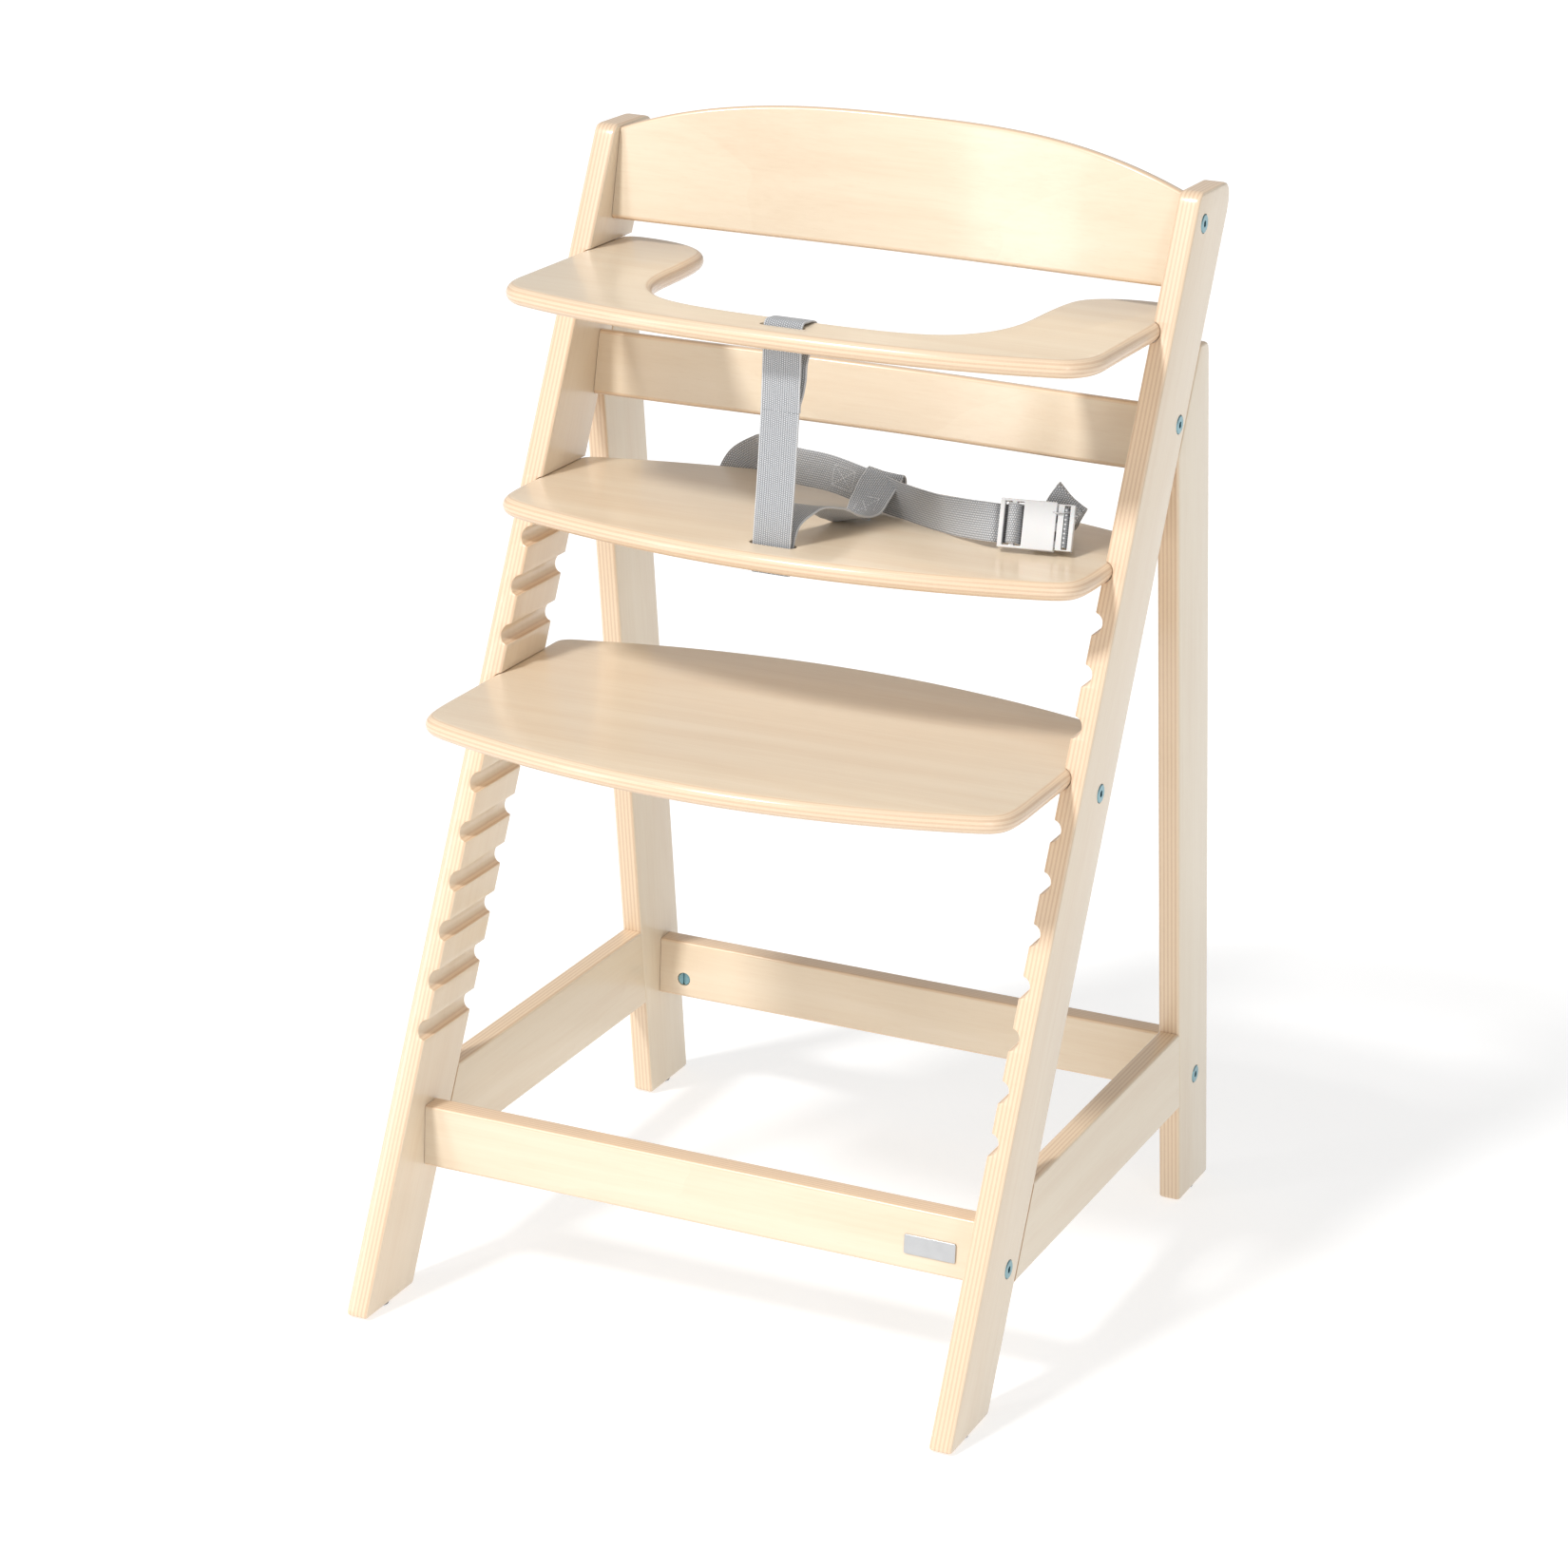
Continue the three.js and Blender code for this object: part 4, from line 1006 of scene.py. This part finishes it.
X = (1, 0, 0)
UP = (0, 0, 1)
BACKWARD = (-1, 0, 0)
TRAY_TOP = TRAY_Z + BOARD / 2
TRAY_UNDER = TRAY_Z - BOARD / 2
JOIN = 0.638
STRAP_Y = -0.092
JOINED_Y = -0.0901
CROTCH_Y = -0.088
BELOW = SEAT_UNDER - 0.0071

front_run = [
    (0.0005, STRAP_Y, BELOW), (0.0005, STRAP_Y, SEAT_TOP), (0.002, STRAP_Y, 0.592),
    (0.003, STRAP_Y, JOIN),
]
tail, _ = make_strap("webbing_tray_strap_lower", front_run, [X] * len(front_run), 60)
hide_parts("tray_strap_tail")
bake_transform(tail)

loop_path = [
    (STRAP_Y, JOIN), (STRAP_Y, TRAY_UNDER - 0.012), (-0.0925, TRAY_Z - 0.002), (-0.0923, TRAY_TOP - 0.001),
    (-0.0895, TRAY_TOP + 0.0022), (-0.0825, TRAY_TOP + 0.0021), (-0.0735, TRAY_TOP + 0.0011),
    (-0.0678, TRAY_TOP - 0.0012), (-0.0655, TRAY_Z), (-0.0684, TRAY_UNDER + 0.0006),
    (-0.075, TRAY_UNDER - 0.005), (-0.081, TRAY_UNDER - 0.013), (-0.082, TRAY_UNDER - 0.024),
    (-0.086, TRAY_UNDER - 0.034), (JOINED_Y, JOIN + 0.005), (JOINED_Y, JOIN),
]
loop, _ = make_strap(
    "webbing_tray_strap_upper", [(0.003, y, z) for y, z in loop_path], [X] * len(loop_path), 150,
)
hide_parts("tray_strap_loop")
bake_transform(loop)

crotch, crotch_frames = make_strap(
    "webbing_crotch_strap",
    [
        (0.0005, CROTCH_Y, BELOW), (0.0005, CROTCH_Y, SEAT_UNDER + 0.002),
        (0.0005, CROTCH_Y, SEAT_UNDER + 0.008), (0.003, CROTCH_Y + 0.006, SEAT_TOP + 0.014),
        (0.0095, -0.065, SEAT_TOP + 0.021), (0.017, -0.046, SEAT_TOP + 0.017),
        (0.023, -0.028, SEAT_TOP + 0.008), (0.026, -0.014, SEAT_TOP + 0.0035),
        (0.028, -0.004, SEAT_TOP + 0.0045), (0.030, 0.006, SEAT_TOP + 0.013),
        (0.032, 0.015, SEAT_TOP + 0.022), (0.0335, 0.0203, SEAT_TOP + 0.0262),
        (0.034, 0.0234, SEAT_TOP + 0.0286), (0.0345, 0.0262, SEAT_TOP + 0.0255),
        (0.034, 0.0270, SEAT_TOP + 0.014), (0.033, 0.0268, SEAT_TOP + 0.004),
    ],
    [
        X, X, X, X, (1, 0.15, 0), (1, 0.25, 0), (1, 0.2, 0.1), (0.96, 0.1, 0.22), (0.96, 0, 0.25),
        (0.97, 0, 0.05), (0.98, 0, -0.10), (0.99, 0, -0.12), (0.99, 0, -0.12), (0.99, 0, -0.12),
        (0.99, 0, -0.12), (0.99, 0, -0.12),
    ],
    170,
)
finished(crotch, "seat", "webbing", "crotch_strap")

BUCKLE = Vector((0.160, -0.017, 0.5644))
YAW, TILT = 0.21, 0.35
BUCKLE_ALONG = Vector((math.cos(YAW), math.sin(YAW), 0))
BUCKLE_ACROSS = Vector((-math.sin(YAW) * math.sin(TILT), math.cos(YAW) * math.sin(TILT), math.cos(TILT)))
ANCHOR_X = 0.110
SEAT_REAR = 0.08745
UNDER_WEB = SEAT_UNDER - 0.0011


def anchor_run(side):
    return [
        (side * ANCHOR_X, SEAT_REAR - 0.032, UNDER_WEB), (side * ANCHOR_X, SEAT_REAR - 0.012, UNDER_WEB),
        (side * ANCHOR_X, SEAT_REAR - 0.005, UNDER_WEB - 0.0004),
        (side * ANCHOR_X, SEAT_REAR + 0.0025, SEAT_UNDER + 0.0015),
    ]


BUCKLE_FRONT = BUCKLE_ALONG.cross(BUCKLE_ACROSS).normalized()
across_buckle = tuple(BUCKLE_ACROSS)


def at_buckle(distance, forward):
    """A place on the buckle's long axis, moved out of its front face."""
    return tuple(BUCKLE + BUCKLE_ALONG * distance + BUCKLE_FRONT * forward)


# Webbing woven through the ladder: behind the outer bar, over the inner bar and back.
LADDER_WEAVE = [
    (-0.030, -0.0030), (-0.0265, -0.0052), (-0.0235, -0.0058), (-0.0205, -0.0040), (-0.0188, 0.0020),
    (-0.0172, 0.0056), (-0.0155, 0.0060), (-0.0138, 0.0054), (-0.0118, 0.0005), (-0.0108, -0.0045),
]
left, left_frames = make_strap(
    "webbing_waist_strap_left",
    [
        *anchor_run(-1), (-0.1110, SEAT_REAR + 0.007, SEAT_TOP - 0.011),
        (-0.1065, SEAT_REAR + 0.0090, SEAT_TOP - 0.001), (-0.092, 0.0935, SEAT_TOP + 0.0095),
        (-0.078, 0.074, SEAT_TOP + 0.0155), (-0.060, 0.052, SEAT_TOP + 0.0190),
        (-0.038, 0.037, SEAT_TOP + 0.0205), (-0.0115, 0.033, SEAT_TOP + 0.0198),
        (0.012, 0.0285, SEAT_TOP + 0.0165), (0.031, 0.0228, SEAT_TOP + 0.0140),
        (0.055, 0.010, SEAT_TOP + 0.0137), (0.085, -0.004, SEAT_TOP + 0.0137),
        (0.108, -0.014, SEAT_TOP + 0.0155), *[at_buckle(d, f) for d, f in LADDER_WEAVE],
    ],
    [BACKWARD] * 4 + [
        (-0.95, 0, 0.2), (-0.72, 0.1, 0.69), (-0.42, 0.25, 0.87), (-0.2, 0.1, 1), UP, UP, UP, UP, UP,
        (0, -0.14, 1), (0, -0.10, 1), (0, 0.12, 1), *[across_buckle] * len(LADDER_WEAVE),
    ],
    340, WAIST_WEB,
)
finished(left, "seat", "webbing", "waist_strap_left")

# The loose tail of the webbing is folded to a point behind the plug before it turns back to the seat's edge.
FOLD = (-0.65, -0.27, 0.70)
FLAT = (-0.81, -0.58, 0)
right_strap, _ = make_strap(
    "webbing_waist_strap_right",
    [
        at_buckle(0.0192, 0.0034), at_buckle(0.0206, -0.0010), at_buckle(0.0225, -0.0054),
        (0.1735, -0.0060, 0.5668), (0.1718, -0.0015, 0.5718), (0.1746, 0.0022, 0.5786),
        (0.1760, 0.0046, 0.5812), (0.1750, 0.0068, 0.5798), (0.1690, 0.0105, 0.5695),
        (0.163, 0.018, 0.5590), (0.152, 0.033, 0.5515), (0.135, 0.057, SEAT_TOP + 0.0024),
        (0.119, 0.078, SEAT_TOP + 0.004), (ANCHOR_X + 0.002, SEAT_REAR + 0.007, SEAT_TOP - 0.0025),
        *reversed(anchor_run(1)),
    ],
    [
        across_buckle, across_buckle, across_buckle, (-0.40, -0.10, 0.86), FOLD, FOLD, FOLD, FOLD, FOLD,
        (-0.75, -0.45, 0.35), FLAT, FLAT, (-0.95, -0.3, 0), BACKWARD, BACKWARD, BACKWARD, BACKWARD,
        BACKWARD,
    ],
    300, WAIST_WEB,
)
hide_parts("waist_strap_right")
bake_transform(right_strap)

# Sewn patches: on the waist strap beside the crotch strap's loop, and on the loop itself.
PATCH_WIDE, PATCH_LONG = 0.0075, 0.0085
for patch_name, frames, at in [
    ("stitches_waist_strap", left_frames, 176), ("stitches_crotch_strap", crotch_frames, 118),
]:
    patch = make_stitches(patch_name, frames, at, -PATCH_WIDE, PATCH_WIDE, -PATCH_LONG, PATCH_LONG, 9, 10)
    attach(patch, "seat")

# ---- Studio -------------------------------------------------------------------------------------------
floor_bm = bmesh.new()
bmesh.ops.create_grid(floor_bm, x_segments=2, y_segments=2, size=12)
floor_shader = Shader("studio_floor")
floor_place = floor_shader.node("TexCoord").outputs["Object"]
floor_tone = floor_shader.noise(floor_place, 0.6, 2)
floor_colour = floor_shader.ramp(floor_tone, [(0.3, (0.49, 0.49, 0.49)), (0.7, (0.51, 0.51, 0.51))])
floor_shader.set(
    Base_Color=floor_colour, Roughness=0.9, Emission_Color=(1, 1, 1, 1), Emission_Strength=0.62,
)
add_object("studio_floor", floor_bm, floor_shader.material)

world = bpy.data.worlds.new("studio")
world.use_nodes = True
world.node_tree.nodes["Background"].inputs["Color"].default_value = (1.0, 1.0, 1.0, 1)
world.node_tree.nodes["Background"].inputs["Strength"].default_value = 0.46
bpy.context.scene.world = world
bpy.context.scene.view_settings.view_transform = "Standard"


def add_area(name, place, aim, width, height, power):
    lamp = bpy.data.lights.new(name, "AREA")
    lamp.shape = "RECTANGLE"
    lamp.size, lamp.size_y = width, height
    lamp.energy = power
    obj = bpy.data.objects.new(name, lamp)
    obj.location = place
    obj.rotation_mode = "QUATERNION"
    obj.rotation_quaternion = (Vector(aim) - Vector(place)).to_track_quat("-Z", "Y")
    bpy.context.scene.collection.objects.link(obj)


sun = bpy.data.lights.new("key", "SUN")
sun.energy = 2.2
sun.angle = math.radians(9)
sun.color = (1, 0.99, 0.97)
key = bpy.data.objects.new("key", sun)
key.rotation_mode = "QUATERNION"
KEY_AZIMUTH, KEY_ELEVATION = math.radians(-24), math.radians(48)
key_from = Vector((
    math.sin(KEY_AZIMUTH) * math.cos(KEY_ELEVATION), -math.cos(KEY_AZIMUTH) * math.cos(KEY_ELEVATION),
    math.sin(KEY_ELEVATION),
))
key.rotation_quaternion = (-key_from).to_track_quat("-Z", "Y")
bpy.context.scene.collection.objects.link(key)
add_area("softbox_left", (-1.44, -1.88, 0.85), (0.1, 0.09, 0.72), 0.22, 1.5, 9)
add_area("softbox_right", (1.9, -2.0, 1.2), (0, 0, 0.5), 0.5, 1.8, 10)
